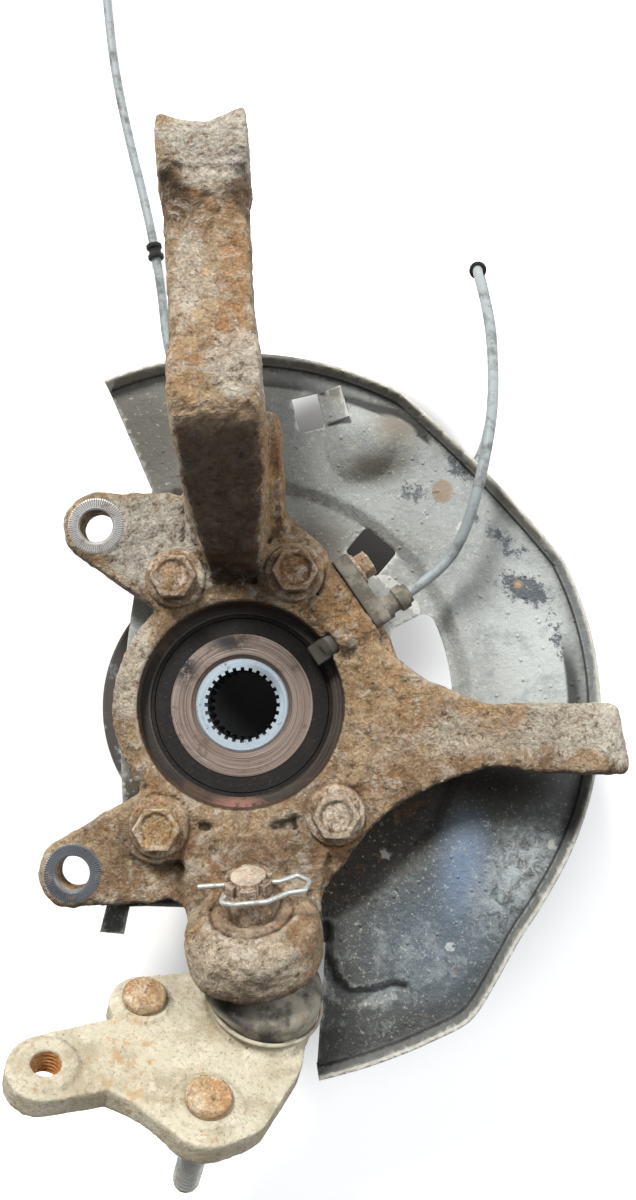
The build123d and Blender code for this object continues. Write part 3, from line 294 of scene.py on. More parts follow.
def rust(name, base, pale, orange, dark, relief=1.0, patch=0.8, underside_shade=0.0, zones=()):
    """Thick rust: tan skin in raised plates, brown patches, ochre bloom, pale dust, dark pits, painted shade
    in hollows, and as much painted shade on faces turned down as asked.

    zones are (x, y, wide, tall, colour, amount) ellipses in plan, in millimetres."""
    p = Paint(name, base, 0.93)
    brown = (base[0] * 0.46, base[1] * 0.38, base[2] * 0.30, 1)
    skin = p.noise(230, 9, 0.74, seed=2.2)
    grain = p.noise(820, 6, 0.76, seed=3.3)
    flakes = p.noise(95, 8, 0.72, distort=0.6, seed=7.4)
    plates = p.spots(0.46, 0.54, 170, 7, 0.7, distort=0.5, seed=4.4)
    slabs = p.spots(0.47, 0.53, 64, 8, 0.72, distort=0.4, seed=6.1)
    p.layer(p.spots(0.42, 0.60, 22, 7, 0.7, seed=1.3), brown, amount=patch)
    p.layer(p.spots(0.50, 0.62, 48, 8, 0.72, seed=8.7), orange, 0.9, amount=0.6)
    for x, y, wide, tall, colour, amount in zones:
        spread = p.math("ADD", p.blot(x, y, wide, tall), p.math("MULTIPLY_ADD", flakes, 1.4, -0.7))
        p.layer(p.ramp(spread, 0.2, 0.6), colour, amount=amount)
    p.layer(p.ramp(flakes, 0.49, 0.62), pale, 0.97, amount=0.6)
    p.layer(p.ramp(skin, 0.49, 0.37), brown, 0.88, amount=0.7)
    p.layer(p.ramp(skin, 0.42, 0.33), dark, 0.88, amount=0.75)
    p.layer(p.ramp(grain, 0.49, 0.38), brown, 0.88, amount=0.65)
    p.layer(p.ramp(grain, 0.54, 0.66), pale, amount=0.5)
    # painted shade in hollows, where pointiness is low
    p.layer(p.edges(0.494, 0.45), dark, amount=0.9)
    p.layer(p.edges(0.512, 0.56), pale, amount=0.4)
    # painted shade on faces turned towards the bottom of the view, away from the key lamp
    if underside_shade:
        p.layer(p.facing((0, -0.86, 0.5), 0.5, 0.95), dark, 0.8, amount=underside_shade)
    p.raise_by(skin, 3.4 * relief)
    p.raise_by(grain, 1.7 * relief)
    p.raise_by(flakes, 3.4 * relief)
    p.raise_by(plates, 0.9 * relief)
    p.raise_by(slabs, 1.0 * relief)
    return p


TAN = srgb(200, 173, 139)
PALE = srgb(224, 215, 198)
ORANGE = srgb(174, 124, 74)
DARK = srgb(50, 35, 21)
DUST = srgb(220, 214, 202)
OCHRE = srgb(190, 145, 94)
UMBER = srgb(96, 70, 46)

# knuckle
k = rust("cast_rust", TAN, PALE, ORANGE, DARK, underside_shade=0.75, zones=(
    (-7, 212, 34, 30, DUST, 0.75),
    # painted shade under the two lobes of the upper clamp boss
    (-25, 190, 13, 15, UMBER, 0.9),
    (4, 192, 10, 14, UMBER, 0.85),
    # rust colours on the neck, which also paint in its lit left side and its shaded right side
    (-18, 160, 9, 34, PALE, 0.5),
    (-1, 150, 9, 44, srgb(170, 114, 60), 0.6),
    (2, 123, 20, 24, DUST, 0.6),
    (-18, 118, 12, 26, OCHRE, 0.5),
    (-40, 70, 32, 32, DUST, 0.9),
    # painted shade below the strut's leg, near the top of the bore
    (-9, 53, 26, 11, srgb(60, 45, 30), 0.85),
    (-47, 20, 14, 46, PALE, 0.6),
    (46, 46, 44, 36, OCHRE, 0.75),
    (18, 88, 16, 34, OCHRE, 0.8),
    (60, 10, 40, 30, OCHRE, 0.4),
    (100, -12, 40, 14, PALE, 0.45),
    (154, -9, 26, 24, srgb(240, 231, 214), 0.9),
    (130, -6, 28, 18, PALE, 0.75),
    (104, -2, 22, 16, OCHRE, 0.5),
    (12, -60, 40, 14, UMBER, 0.45),
    (3, -98, 38, 24, srgb(226, 209, 184), 0.75),
    (4, -122, 30, 14, UMBER, 0.45),
))
bore_wall = k.both(k.near((0, 0, 0), 0.0445, 0.0465), k.facing_up(0.75, 0.4))
k.layer(bore_wall, srgb(74, 50, 32), 0.8, amount=0.85)
taper_pad = k.both(
    k.ramp(k.axis_value(STUD_AXIS, BALL_CENTRE * MM), 0.0488, 0.0496),
    k.near((BALL_CENTRE + STUD_AXIS * 50) * MM, 0.0165, 0.0185, flat=False),
)
k.layer(taper_pad, srgb(168, 138, 110), 0.8, amount=0.5)
CAST = k.done(0.3)

k = rust("bolt_rust", srgb(176, 150, 122), PALE, srgb(166, 126, 84), DARK, relief=0.5, zones=(
    (22.3, 55.7, 16, 16, srgb(142, 100, 62), 0.8),
    (-33.3, -49.9, 16, 16, srgb(178, 142, 92), 0.7),
    (39.3, -45.3, 16, 16, srgb(196, 178, 156), 0.7),
))
BOLT_RUST = k.done(0.3)

k = rust("nut_rust", srgb(168, 142, 118), PALE, srgb(160, 114, 72), DARK, relief=0.4)
NUT_RUST = k.done(0.3)

k = rust(
    "stud_head_rust",
    srgb(196, 166, 128), srgb(222, 210, 186), srgb(186, 126, 70), srgb(96, 72, 50), relief=0.3, patch=0.4,
)
HEAD_RUST = k.done(0.3)

# dusty forged plate of the ball joint
PIN_SPOTS = ((-40.5, -132.5), (-12.5, -170.5), (-67.5, -161.5))
k = Paint("joint_dust", srgb(192, 184, 163), 0.95)
k.layer(k.spots(0.44, 0.62, 34, 7, 0.68, seed=2.0), srgb(158, 146, 122), amount=0.8)
k.layer(k.spots(0.50, 0.64, 120, 8, 0.74, seed=6.0), srgb(210, 203, 184), amount=0.7)
k.layer(k.spots(0.59, 0.65, 150, 8, 0.75, seed=9.0), srgb(168, 122, 72), amount=0.7)
k.layer(k.spots(0.61, 0.68, 90, 8, 0.75, seed=19.0), srgb(184, 144, 92), amount=0.5)
k.layer(k.spots(0.53, 0.66, 640, 6, 0.76, seed=3.0), srgb(128, 112, 88), amount=0.75)
k.layer(
    k.both(k.blot(22, -150, 20, 34), k.spots(0.36, 0.56, 60, 6, 0.7, seed=5.0)),
    srgb(132, 118, 92), amount=0.7,
)
for x, y in PIN_SPOTS:
    k.layer(
        k.both(k.near(mm(x, y, 0), 0.009, 0.016), k.spots(0.50, 0.60, 150, 7, 0.75, seed=x)),
        srgb(176, 134, 84), amount=0.6,
    )
# painted shade in hollows, where pointiness is low
k.layer(k.edges(0.492, 0.455), srgb(84, 64, 46), amount=0.9)
k.layer(k.edges(0.51, 0.56), srgb(226, 216, 196), amount=0.4)
k.raise_by(k.noise(260, 8, 0.74, seed=1.0), 1.1)
k.raise_by(k.noise(1100, 5, 0.74, seed=2.0), 0.4)
k.raise_by(k.noise(60, 6, 0.66, seed=4.0), 1.6)
JOINT_DUST = k.done(0.3)

# shield: dusty grey steel with dark bare patches, painted shade under the swells, the arm and in the rim's
# crease, a painted highlight on the rim's top edge and a painted bluish sky sheen on the lower half
k = Paint("shield_dust", srgb(148, 151, 149), 0.85, 0.0)
k.layer(k.spots(0.40, 0.64, 15, 6, 0.68, seed=3.0), srgb(134, 134, 128), amount=0.8)
k.layer(k.blot(132, 18, 38, 78), srgb(184, 189, 188), amount=0.75)
k.layer(k.spots(0.48, 0.64, 80, 8, 0.74, seed=7.0), srgb(120, 124, 125), amount=0.5)
k.layer(k.spots(0.52, 0.66, 330, 7, 0.76, seed=17.0), srgb(178, 180, 176), amount=0.5)
k.layer(k.blot(-44, 118, 62, 64), srgb(82, 79, 71), amount=0.95)
k.layer(k.blot(32, 72, 24, 18), srgb(98, 92, 80), amount=0.8)
# painted shade in the dip right of the tab and on the swells' lower side
k.layer(k.blot(68, 122, 16, 14), srgb(110, 104, 90), amount=0.85)
k.layer(k.blot(58, 105, 25, 12, 14), srgb(64, 57, 45), amount=0.9)
lower = k.ramp(k.axis_value((0, -1, 0)), 0.012, 0.05)
k.layer(lower, srgb(64, 65, 62), 0.55, amount=0.97)
wiped = k.math(
    "MULTIPLY_ADD",
    k.noise(24, 7, 0.7, seed=31.0), 0.9,
    k.math("MULTIPLY", k.noise(150, 9, 0.8, distort=0.7, seed=23.0), 0.9),
)
scuff = k.spots(0.38, 0.60, 170, 9, 0.8, distort=0.7, seed=23.0)
# blue-grey tint on the lower half: partly paint colour, partly painted sky sheen
k.layer(k.blot(86, -100, 46, 40, 30), srgb(82, 95, 106), 0.5, amount=0.8)
# painted bluish sky reflection in a streak
k.layer(k.blot(95, -68, 17, 32, -8), srgb(112, 130, 152), 0.35, 0.1, amount=0.85)
k.layer(k.both(k.blot(120, -76, 26, 44, -28), scuff), srgb(166, 174, 176), 0.9, amount=0.9)
k.layer(
    k.both(k.blot(66, -94, 34, 30), k.both(scuff, k.ramp(wiped, 0.86, 1.0))),
    srgb(146, 151, 150), 0.9, amount=0.6,
)
k.layer(k.both(lower, k.ramp(wiped, 0.95, 1.12)), srgb(146, 152, 153), 0.95, amount=0.45)
k.layer(k.both(lower, k.spots(0.57, 0.64, 430, 8, 0.8, seed=37.0)), srgb(186, 188, 182), 0.95, amount=0.65)
inner = k.near((0, 0, 0), 0.089, 0.104)
# grime and painted shade on the seat ring by the knuckle
k.layer(k.both(lower, inner), srgb(38, 31, 23), 0.75, amount=0.93)
# painted shadow of the steering arm, with grime, below it
k.layer(k.blot(106, -34, 46, 18, -8), srgb(40, 34, 25), 0.75, amount=0.95)
k.layer(
    k.both(k.both(lower, inner), k.spots(0.54, 0.62, 110, 8, 0.75, seed=13.0)),
    srgb(104, 78, 50), 0.9, amount=0.6,
)
blots = [
    k.blot(124, 51, 21, 11, -22), k.blot(74, 94, 15, 9), k.blot(101, 83, 6, 5), k.blot(95, 105, 7, 13, 40),
    k.blot(115, 72, 24, 9, -40), k.blot(137, 30, 6, 26, 12),
]
share = (1.0, 0.62, 0.85, 0.7, 0.66, 0.5)
bare = None
for blot, weight in zip(blots, share):
    part = k.math("MULTIPLY", blot, weight)
    bare = part if bare is None else k.math("MAXIMUM", bare, part)
eaten = k.math("MULTIPLY_ADD", k.noise(260, 9, 0.85, distort=0.4, seed=5.0), 3.4, -1.75)
bare = k.ramp(k.math("ADD", bare, eaten), 0.40, 0.56)
k.layer(bare, srgb(58, 65, 72), 0.34, 0.2, amount=0.9)
k.layer(k.ramp(k.blot(88, 94.5, 6.5, 7.5), 0.1, 0.4), srgb(134, 112, 88), 0.9, 0.0, amount=0.75)
k.layer(k.blot(121, 53, 3, 2.6), srgb(176, 146, 112), 0.9, 0.0, amount=0.8)
k.layer(k.spots(0.58, 0.67, 560, 7, 0.8, seed=4.0), srgb(206, 204, 194), 0.95, 0.0, amount=0.7)
k.layer(k.spots(0.65, 0.70, 190, 6, 0.7, seed=12.0), srgb(140, 104, 70), 0.95, 0.0, amount=0.6)
k.layer(k.spots(0.60, 0.70, 420, 6, 0.75, seed=14.0), srgb(52, 54, 56), 0.8, amount=0.6)
outer = k.math("SUBTRACT", 1.0, k.near((0, 0, 0), 0.1408, 0.1424))
# painted shade in the crease at the foot of the rim
crease = k.both(
    k.ramp(k.axis_value((0, 0, 1)), 0.0450, 0.0456),
    k.ramp(k.axis_value((0, 0, 1)), 0.0474, 0.0462),
)
k.layer(k.both(crease, outer), srgb(24, 23, 21), 0.8, amount=0.9)
rim = k.both(k.ramp(k.axis_value((0, 0, 1)), 0.0470, 0.0482), outer)
k.layer(rim, srgb(112, 108, 98), 0.8, amount=0.7)
k.layer(k.both(rim, k.blot(146, 24, 34, 90)), srgb(136, 143, 147), 0.8, amount=0.7)
k.layer(k.both(rim, lower), srgb(92, 94, 93), 0.7, amount=0.75)
# painted highlight along the rim's top edge
k.layer(k.both(outer, k.ramp(k.axis_value((0, 0, 1)), 0.0508, 0.0515)), srgb(196, 189, 174), 0.9, amount=0.5)
k.layer(k.edges(0.515, 0.56), srgb(206, 206, 200), amount=0.5)
# painted shade in hollows, where pointiness is low
k.layer(k.edges(0.485, 0.44), srgb(66, 66, 66), amount=0.7)
k.raise_by(k.noise(60, 6, 0.6, seed=1.0), 1.2)
k.raise_by(k.noise(700, 7, 0.78, seed=2.0), 0.4)
k.raise_by(k.noise(210, 7, 0.74, seed=8.0), 0.7)
k.raise_by(k.ramp(k.cells(165), 0.17, 0.05), 0.45)
SHIELD = k.done(0.5)

# turned and ground steels
k = Paint("ring_steel", srgb(34, 28, 24), 0.6, 0.1)
k.layer(k.spots(0.50, 0.62, 40, 7, 0.72, seed=2.0), srgb(74, 54, 40), 0.85, 0.0, amount=0.8)
k.layer(k.ramp(k.rings(900, 14, seed=3.0), 0.50, 0.62), srgb(104, 90, 78), 0.6, 0.2, amount=0.35)
k.layer(
    k.both(k.blot(-1, -42, 17, 6), k.spots(0.42, 0.52, 90, 8, 0.75, seed=9.0)),
    srgb(150, 108, 94), 0.85, 0.0, amount=0.8,
)
k.raise_by(k.noise(500, 7, 0.7), 0.25)
RING_STEEL = k.done()

k = Paint("race_steel", srgb(134, 119, 109), 0.42, 0.35)
k.layer(k.ramp(k.rings(1500, 24, seed=1.0), 0.46, 0.60), srgb(94, 76, 68), 0.5, 0.3, amount=0.85)
k.layer(k.ramp(k.rings(2600, 12, seed=5.0), 0.55, 0.64), srgb(198, 190, 182), 0.35, 0.5, amount=0.65)
k.layer(k.spots(0.52, 0.63, 60, 8, 0.75, seed=3), srgb(74, 55, 45), 0.7, 0.1, amount=0.8)
k.layer(
    k.both(k.near((0, 0, 0), 0.0212, 0.0224), k.facing_up(0.5, 0.8)),
    srgb(66, 46, 34), 0.8, 0.1, amount=0.7,
)
k.layer(k.both(k.blot(-6, 27, 14, 7), k.spots(0.36, 0.48, 170, 8, 0.75, seed=13)), srgb(24, 22, 20), 0.5, 0.1)
k.layer(
    k.both(k.blot(-24, 15, 9, 12), k.spots(0.40, 0.50, 170, 8, 0.75, seed=15)),
    srgb(28, 25, 23), 0.5, 0.1,
)
k.raise_by(k.rings(2200, 20, seed=7.0), 0.10)
k.raise_by(k.noise(520, 7, 0.7), 0.12)
RACE_STEEL = k.done()

k = Paint("hub_steel", srgb(190, 203, 212), 0.34, 0.55)
k.layer(k.ramp(k.rings(1400, 40, seed=2.0), 0.46, 0.62), srgb(158, 174, 190), 0.4, amount=0.8)
k.layer(
    k.both(k.near((0, 0, 0), 0.0175, 0.0183), k.near((0.008, 0.008, 0), 0.004, 0.014)),
    srgb(90, 92, 92), 0.5, 0.3, amount=0.7,
)
k.layer(k.spots(0.56, 0.63, 260, 8, 0.78, seed=8), srgb(52, 48, 44), 0.8, 0.1, amount=0.8)
inside = k.near((0, 0, 0), 0.0156, 0.0166)
# bore walls near black: grease, with painted shade deep in the bore
k.layer(k.both(inside, k.facing_up(0.8, 0.4)), srgb(14, 13, 13), 0.6, 0.1)
k.layer(k.both(inside, k.spots(0.56, 0.63, 420, 8, 0.78, seed=18)), srgb(70, 50, 36), 0.9, 0.0, amount=0.8)
k.layer(
    k.both(k.math("SUBTRACT", 1.0, k.near((0, 0, 0), 0.03, 0.034)), k.spots(0.3, 0.5, 60, 6, 0.7)),
    srgb(76, 70, 66), 0.75, 0.3,
)
k.raise_by(k.noise(400, 6, 0.66), 0.12)
HUB_STEEL = k.done()

k = Paint("seal_rubber", srgb(18, 15, 13), 0.75)
k.layer(k.spots(0.50, 0.68, 70, 7, 0.74, seed=2), srgb(34, 29, 25), 0.85)
k.layer(k.spots(0.56, 0.66, 700, 7, 0.8, seed=5), srgb(84, 76, 66), 0.9, amount=0.5)
k.raise_by(k.noise(620, 8, 0.76), 0.5)
SEAL = k.done(0.35)

k = Paint("zinc_steel", srgb(176, 178, 174), 0.42, 0.6)
k.layer(k.spots(0.50, 0.64, 260, 7, 0.74), srgb(120, 112, 100), 0.75, 0.1, amount=0.7)
k.layer(k.spots(0.58, 0.66, 420, 7, 0.76, seed=3.0), srgb(92, 74, 56), 0.85, 0.0, amount=0.6)
k.raise_by(k.noise(900, 6, 0.7), 0.12)
ZINC = k.done()

k = rust("stud_rust", srgb(172, 146, 120), PALE, srgb(158, 112, 72), DARK, relief=0.3)
STUD_RUST = k.done(0.3)

k = rust(
    "thread_rust",
    srgb(186, 124, 66), srgb(214, 170, 110), srgb(170, 96, 40), srgb(70, 42, 22), relief=0.2,
)
THREAD_RUST = k.done(0.3)

k = Paint("lip_dust", srgb(168, 160, 142), 0.9)
k.layer(k.spots(0.46, 0.60, 80, 7, 0.72, seed=2.0), srgb(122, 114, 98), amount=0.8)
k.layer(k.spots(0.56, 0.66, 500, 6, 0.75, seed=4.0), srgb(196, 188, 170), amount=0.6)
k.raise_by(k.noise(500, 6, 0.7), 0.15)
LIP_DUST = k.done(0.3)

k = Paint("ball_steel", srgb(200, 202, 205), 0.12, 1.0)
k.layer(k.spots(0.5, 0.7, 120, 4), srgb(150, 140, 120), 0.25, amount=0.4)
BALLS = k.done()

k = Paint("nylon", srgb(206, 196, 168), 0.5)
k.layer(k.spots(0.45, 0.65, 80, 5), srgb(176, 160, 122), 0.55)
k.raise_by(k.noise(1200, 4), 0.02)
NYLON = k.done()

k = Paint("boot_rubber", srgb(34, 32, 31), 0.5)
lip = k.ramp(k.axis_value(tuple(PLATE_AXIS), tuple(BALL_CENTRE * MM)), 0.0150, 0.0115)
right = k.ramp(k.axis_value((1, 0, 0), tuple(BALL_CENTRE * MM)), -0.016, 0.008)
k.layer(
    k.math("MAXIMUM", lip, k.both(right, k.spots(0.34, 0.56, 60, 5, 0.65, seed=6))),
    srgb(158, 151, 134), 0.9, amount=0.9,
)
k.layer(k.spots(0.46, 0.66, 45, 6, 0.7, seed=4), srgb(62, 58, 53), 0.8)
k.layer(k.spots(0.56, 0.68, 360, 6, 0.72, seed=5), srgb(132, 124, 112), 0.9, amount=0.7)
k.layer(k.spots(0.64, 0.70, 130, 6, 0.7, seed=9), srgb(150, 98, 52), 0.9, amount=0.8)
k.raise_by(k.noise(500, 6, 0.65), 0.12)
BOOT = k.done(0.4)

k = Paint("sensor_plastic", srgb(86, 81, 72), 0.75)
k.layer(k.spots(0.47, 0.64, 90, 6, 0.65, seed=2), srgb(124, 119, 108), 0.9)
k.layer(k.spots(0.60, 0.68, 300, 6, 0.7, seed=6), srgb(156, 122, 70), 0.9, amount=0.6)
k.layer(k.near((0, 0, 0), 0.0435, 0.0450), srgb(54, 50, 44), 0.8, amount=0.9)
# painted shade in hollows, where pointiness is low
k.layer(k.edges(0.49, 0.45), srgb(38, 34, 30), amount=0.7)
k.raise_by(k.noise(700, 7, 0.75), 0.3)
SENSOR = k.done(0.35)

k = Paint("lead_jacket", srgb(132, 138, 140), 0.55)
k.layer(k.spots(0.46, 0.66, 120, 6, 0.68, seed=3), srgb(92, 94, 92), 0.8)
k.layer(k.spots(0.58, 0.68, 600, 6, 0.72, seed=5), srgb(172, 168, 158), 0.9, amount=0.7)
k.raise_by(k.noise(800, 5, 0.6), 0.05)
JACKET = k.done(0.4)

k = Paint("dark_plastic", srgb(36, 36, 38), 0.5)
k.layer(k.spots(0.50, 0.68, 150, 6, 0.68, seed=3), srgb(74, 70, 66), 0.8)
k.raise_by(k.noise(1500, 4, 0.6), 0.02)
PLASTIC = k.done(0.45)

k = Paint("ear_face", srgb(170, 169, 168), 0.42, 0.45)
k.layer(k.spots(0.50, 0.66, 160, 6, 0.7, seed=3), srgb(112, 92, 74), 0.7, 0.3, amount=0.7)
k.layer(k.near(mm(-68.6, -68.7, 61), 0.018, 0.024), srgb(84, 91, 100), 0.4, 0.5, amount=0.8)
k.raise_by(k.noise(900, 5, 0.6), 0.05)
EAR_FACE = k.done()


def paint(obj, material):
    obj.data.materials.clear()
    obj.data.materials.append(material)
    return obj


# ------------------------------------------------------------ mesh helpers
WEIGHT_LEVELS = 20


def new_object(name, mesh):
    obj = bpy.data.objects.new(name, mesh)
    scene.collection.objects.link(obj)
    return obj


def from_bmesh(name, bm, smooth=True):
    mesh = bpy.data.meshes.new(name)
    bm.to_mesh(mesh)
    bm.free()
    if smooth:
        for poly in mesh.polygons:
            poly.use_smooth = True
    return new_object(name, mesh)


def baked(obj):
    """Applies an object's modifiers to its mesh."""
    bpy.context.view_layer.update()
    graph = bpy.context.evaluated_depsgraph_get()
    mesh = bpy.data.meshes.new_from_object(obj.evaluated_get(graph))
    obj.modifiers.clear()
    obj.data = mesh
    return obj


def points_of(obj):
    co = np.zeros(len(obj.data.vertices) * 3)
    obj.data.vertices.foreach_get("co", co)
    return co.reshape(-1, 3) / MM


def move_points(obj, points):
    obj.data.vertices.foreach_set("co", (points * MM).ravel())
    obj.data.update()


def weight_by(obj, name, values):
    """A vertex group from values of 0 to 1, in twentieths."""
    group = obj.vertex_groups.new(name=name)
    levels = np.clip(np.round(values * WEIGHT_LEVELS).astype(int), 0, WEIGHT_LEVELS)
    for level in range(1, WEIGHT_LEVELS + 1):
        chosen = np.nonzero(levels == level)[0].tolist()
        if chosen:
            group.add(chosen, level / WEIGHT_LEVELS, "REPLACE")


def remeshed(name, sources, voxel, soften=6, keep=None, lumps=(), body="upright", material=None, melt=None):
    """A cast or worn copy of CAD nodes: voxel skin, softened edges, pitted surface.

    keep gives each point a share from 0 (left crisp) to 1, lumps are (feature
    size, depth) pairs in millimetres, and melt is (share of each point, rounds)
    of further softening."""
    bm = bmesh.new()
    for source in sources:
        bm.from_mesh(nodes[source].data)
    obj = from_bmesh(name, bm)
    remesh = obj.modifiers.new("skin", "REMESH")
    remesh.mode = "VOXEL"
    remesh.voxel_size = voxel * MM
    remesh.use_smooth_shade = True
    baked(obj)
    share = np.ones(len(obj.data.vertices)) if keep is None else keep(points_of(obj))
    weight_by(obj, "soft", share)
    if soften:
        smooth = obj.modifiers.new("soft", "SMOOTH")
        smooth.factor = 0.5
        smooth.iterations = soften
        smooth.vertex_group = "soft"
    if melt:
        weight_by(obj, "melt", melt[0](points_of(obj)))
        more = obj.modifiers.new("melt", "SMOOTH")
        more.factor = 0.5
        more.iterations = melt[1]
        more.vertex_group = "melt"
    for index, (size, depth) in enumerate(lumps):
        texture = bpy.data.textures.new(f"{name}_{index}", "CLOUDS")
        texture.noise_scale = size * MM
        texture.noise_depth = 4
        texture.noise_basis = "ORIGINAL_PERLIN"
        push = obj.modifiers.new("lumps", "DISPLACE")
        push.texture = texture
        push.texture_coords = "LOCAL"
        push.strength = depth * MM
        push.mid_level = 0.5
        push.vertex_group = "soft"
    baked(obj)
    for poly in obj.data.polygons:
        poly.use_smooth = True
    if material:
        paint(obj, material)
    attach(obj, body)
    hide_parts(*sources)
    return obj


def ring_faces(bm, loops, closed=False):
    """Skins a list of vertex loops."""
    pairs = list(zip(loops, loops[1:]))
    if closed:
        pairs.append((loops[-1], loops[0]))
    for a, b in pairs:
        count = len(a)
        for i in range(count):
            j = (i + 1) % count
            bm.faces.new((a[i], a[j], b[j], b[i]))


def basis(axis):
    """Two unit vectors square to an axis."""
    u = (Vector((1, 0, 0)) - axis * axis.x).normalized()
    return u, axis.cross(u)


def circle(bm, centre, axis, radius, steps):
    """New vertices on a circle square to an axis, in millimetres."""
    u, v = basis(axis)
    return [
        bm.verts.new((centre + u * (radius * math.cos(t)) + v * (radius * math.sin(t))) * MM)
        for t in (2 * math.pi * i / steps for i in range(steps))
    ]


# ------------------------------------------------------------ sensor lead
SENSOR_Z = 59.5
COLLAR_OUT = 65.0 + 7.0 + 13.5    # out to the sensor's pad, its flange, its collar
LEAD_Z = FLOOR_Z + CABLE_R
GROMMET_R = 4.2
GROMMET_Z = FLOOR_Z + GROMMET_R
PLUG_Z = FLOOR_Z + 7.5
sensor_out = Vector((math.cos(SENSOR_ANGLE), math.sin(SENSOR_ANGLE), 0))
collar_end = Vector((0, 0, SENSOR_Z)) + sensor_out * COLLAR_OUT
lead_points = [
    tuple(collar_end),
    tuple(collar_end + sensor_out * 18),
    (94.0, 72.0, 65.0),
    (98.6, 88.0, 70.0),
    (103.0, 106.0, 69.5),
    (107.0, 125.0, 64.0),
    (109.8, 145.0, 54.0),
    (111.6, 167.0, 41.5),
    (111.6, 188.0, 29.3),
    (110.3, 208.8, 15.9),
    (114.2, 216.9, -1.2),
    (120.2, 213.1, -18.6),
    (126.0, 199.1, -29.5),
    (127.3, 178.0, LEAD_Z),
    (126.0, 152.0, LEAD_Z),
    (119.5, 126.0, LEAD_Z),
    (102.0, 105.0, LEAD_Z),
    (77.0, 97.5, LEAD_Z),
    (52.5, 108.0, LEAD_Z),
    (32.0, 126.0, LEAD_Z),
    (8.0, 138.5, LEAD_Z),
    (-19.0, 144.5, LEAD_Z),
    (-37.5, 163.0, LEAD_Z),
    (-44.5, 187.0, LEAD_Z),
    (-47.0, 210.0, LEAD_Z),
    (-49.5, 228.0, GROMMET_Z),
    (-53.0, 246.0, GROMMET_Z),
    (-58.5, 270.0, LEAD_Z),
    (-67.5, 305.0, LEAD_Z),
    (-75.0, 341.0, LEAD_Z),
    (-79.0, 375.0, LEAD_Z + 1),
    (-80.0, 394.0, PLUG_Z),
    (-81.0, 409.0, PLUG_Z),
]


def lead_curve(name, bevel):
    data = bpy.data.curves.new(name, "CURVE")
    data.dimensions = "3D"
    data.resolution_u = 10
    data.bevel_depth = bevel * MM
    data.bevel_resolution = 6
    data.use_fill_caps = bevel > 0
    spline = data.splines.new("NURBS")
    spline.points.add(len(lead_points) - 1)
    for point, where in zip(spline.points, lead_points):
        point.co = (*[c * MM for c in where], 1.0)
    spline.order_u = 3
    spline.use_endpoint_u = True
    return new_object(name, data)


lead = lead_curve("sensor_lead", CABLE_R)
paint(lead, JACKET)
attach(lead, "upright")
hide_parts("abs_cable")

bare_lead = lead_curve("lead_line", 0)
bpy.context.view_layer.update()
line_mesh = bpy.data.meshes.new_from_object(bare_lead.evaluated_get(bpy.context.evaluated_depsgraph_get()))
line = [Vector(v.co) / MM for v in line_mesh.vertices]
bpy.data.objects.remove(bare_lead)


def on_lead(near, lengths):
    """Points and directions along the lead, at distances from the point nearest to one."""
    centre = min(range(len(line)), key=lambda i: (line[i] - near).length)
    run = [0.0]
    for a, b in zip(line, line[1:]):
        run.append(run[-1] + (b - a).length)
    out = []
    for length in lengths:
        target = run[centre] + length
        i = max(j for j in range(len(run) - 1) if run[j] <= target)
        step = line[i + 1] - line[i]
        out.append((line[i] + step * ((target - run[i]) / step.length), step.normalized()))
    return out


def grommet(name, index):
    a, b = Vector(lead_points[index]), Vector(lead_points[index + 1])
    profile = [
        (-3.9, 2.4), (-3.9, 3.8), (-3.6, 4.15), (-2.0, 4.15), (-1.6, 3.8), (-1.4, 3.15),
        (1.4, 3.15), (1.6, 3.8), (2.0, 4.15), (3.6, 4.15), (3.9, 3.8), (3.9, 2.4),
    ]
    bm = bmesh.new()
    loops = []
    for (point, way), (_, radius) in zip(on_lead((a + b) / 2, [x for x, _ in profile]), profile):
        loops.append(circle(bm, point, way, radius, steps=40))
    ring_faces(bm, loops)
    bmesh.ops.recalc_face_normals(bm, faces=bm.faces)
    obj = paint(from_bmesh(name, bm), SEAL)
    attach(obj, "upright")
    return obj


# the near grommet is a dark rubber spool put where only a patch of shade lies between the lead and the strut
# arm
grommets = [grommet("grommet_far", 9), grommet("grommet_near_for_shade", 25)]
for piece in grommets:
    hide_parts("cable_grommets")

paint(nodes["abs_connector"], PLASTIC)


# ------------------------------------------------------------ knuckle
def from_stud(p):
    """Distances of points along the ball stud's axis and away from it."""
    away = p - np.array(BALL_CENTRE)
    along = away @ np.array(STUD_AXIS)
    return along, np.linalg.norm(away - np.outer(along, np.array(STUD_AXIS)), axis=1)


def knuckle_share(p):
    """Machined faces and bores stay crisp."""
    share = np.ones(len(p))
    radius = np.hypot(p[:, 0], p[:, 1])
    share[(radius < 45.2)] = 0.15
    share[p[:, 2] < 40.2] = 0.1
    for x, y in EARS:
        share[(np.hypot(p[:, 0] - x, p[:, 1] - y) < 12.6)] = 0.15
    for angle in BOLT_ANGLES:
        a = math.radians(angle)
        x, y = BOLT_PCD_R * math.cos(a), BOLT_PCD_R * math.sin(a)
        share[(np.hypot(p[:, 0] - x, p[:, 1] - y) < 13.8) & (p[:, 2] > 60)] = 0.35
    along, off = from_stud(p)
    share[(off < 16.8) & (along > 48.2)] = 0.35
    return share


def strut_share(p):
    """The strut arm and its root are rounder than the rest."""
    rise = np.clip((p[:, 1] - 52) / 18, 0, 1) * np.clip((p[:, 2] - 61) / 6, 0, 1)
    return rise * np.clip((200 - p[:, 1]) / 16, 0, 1)


knuckle = remeshed(
    "cast_knuckle", ["knuckle"], 1.25, soften=16, keep=knuckle_share,
    lumps=((26, 2.4), (9, 2.0), (3.4, 1.5)), material=CAST, melt=(strut_share, 90),
)

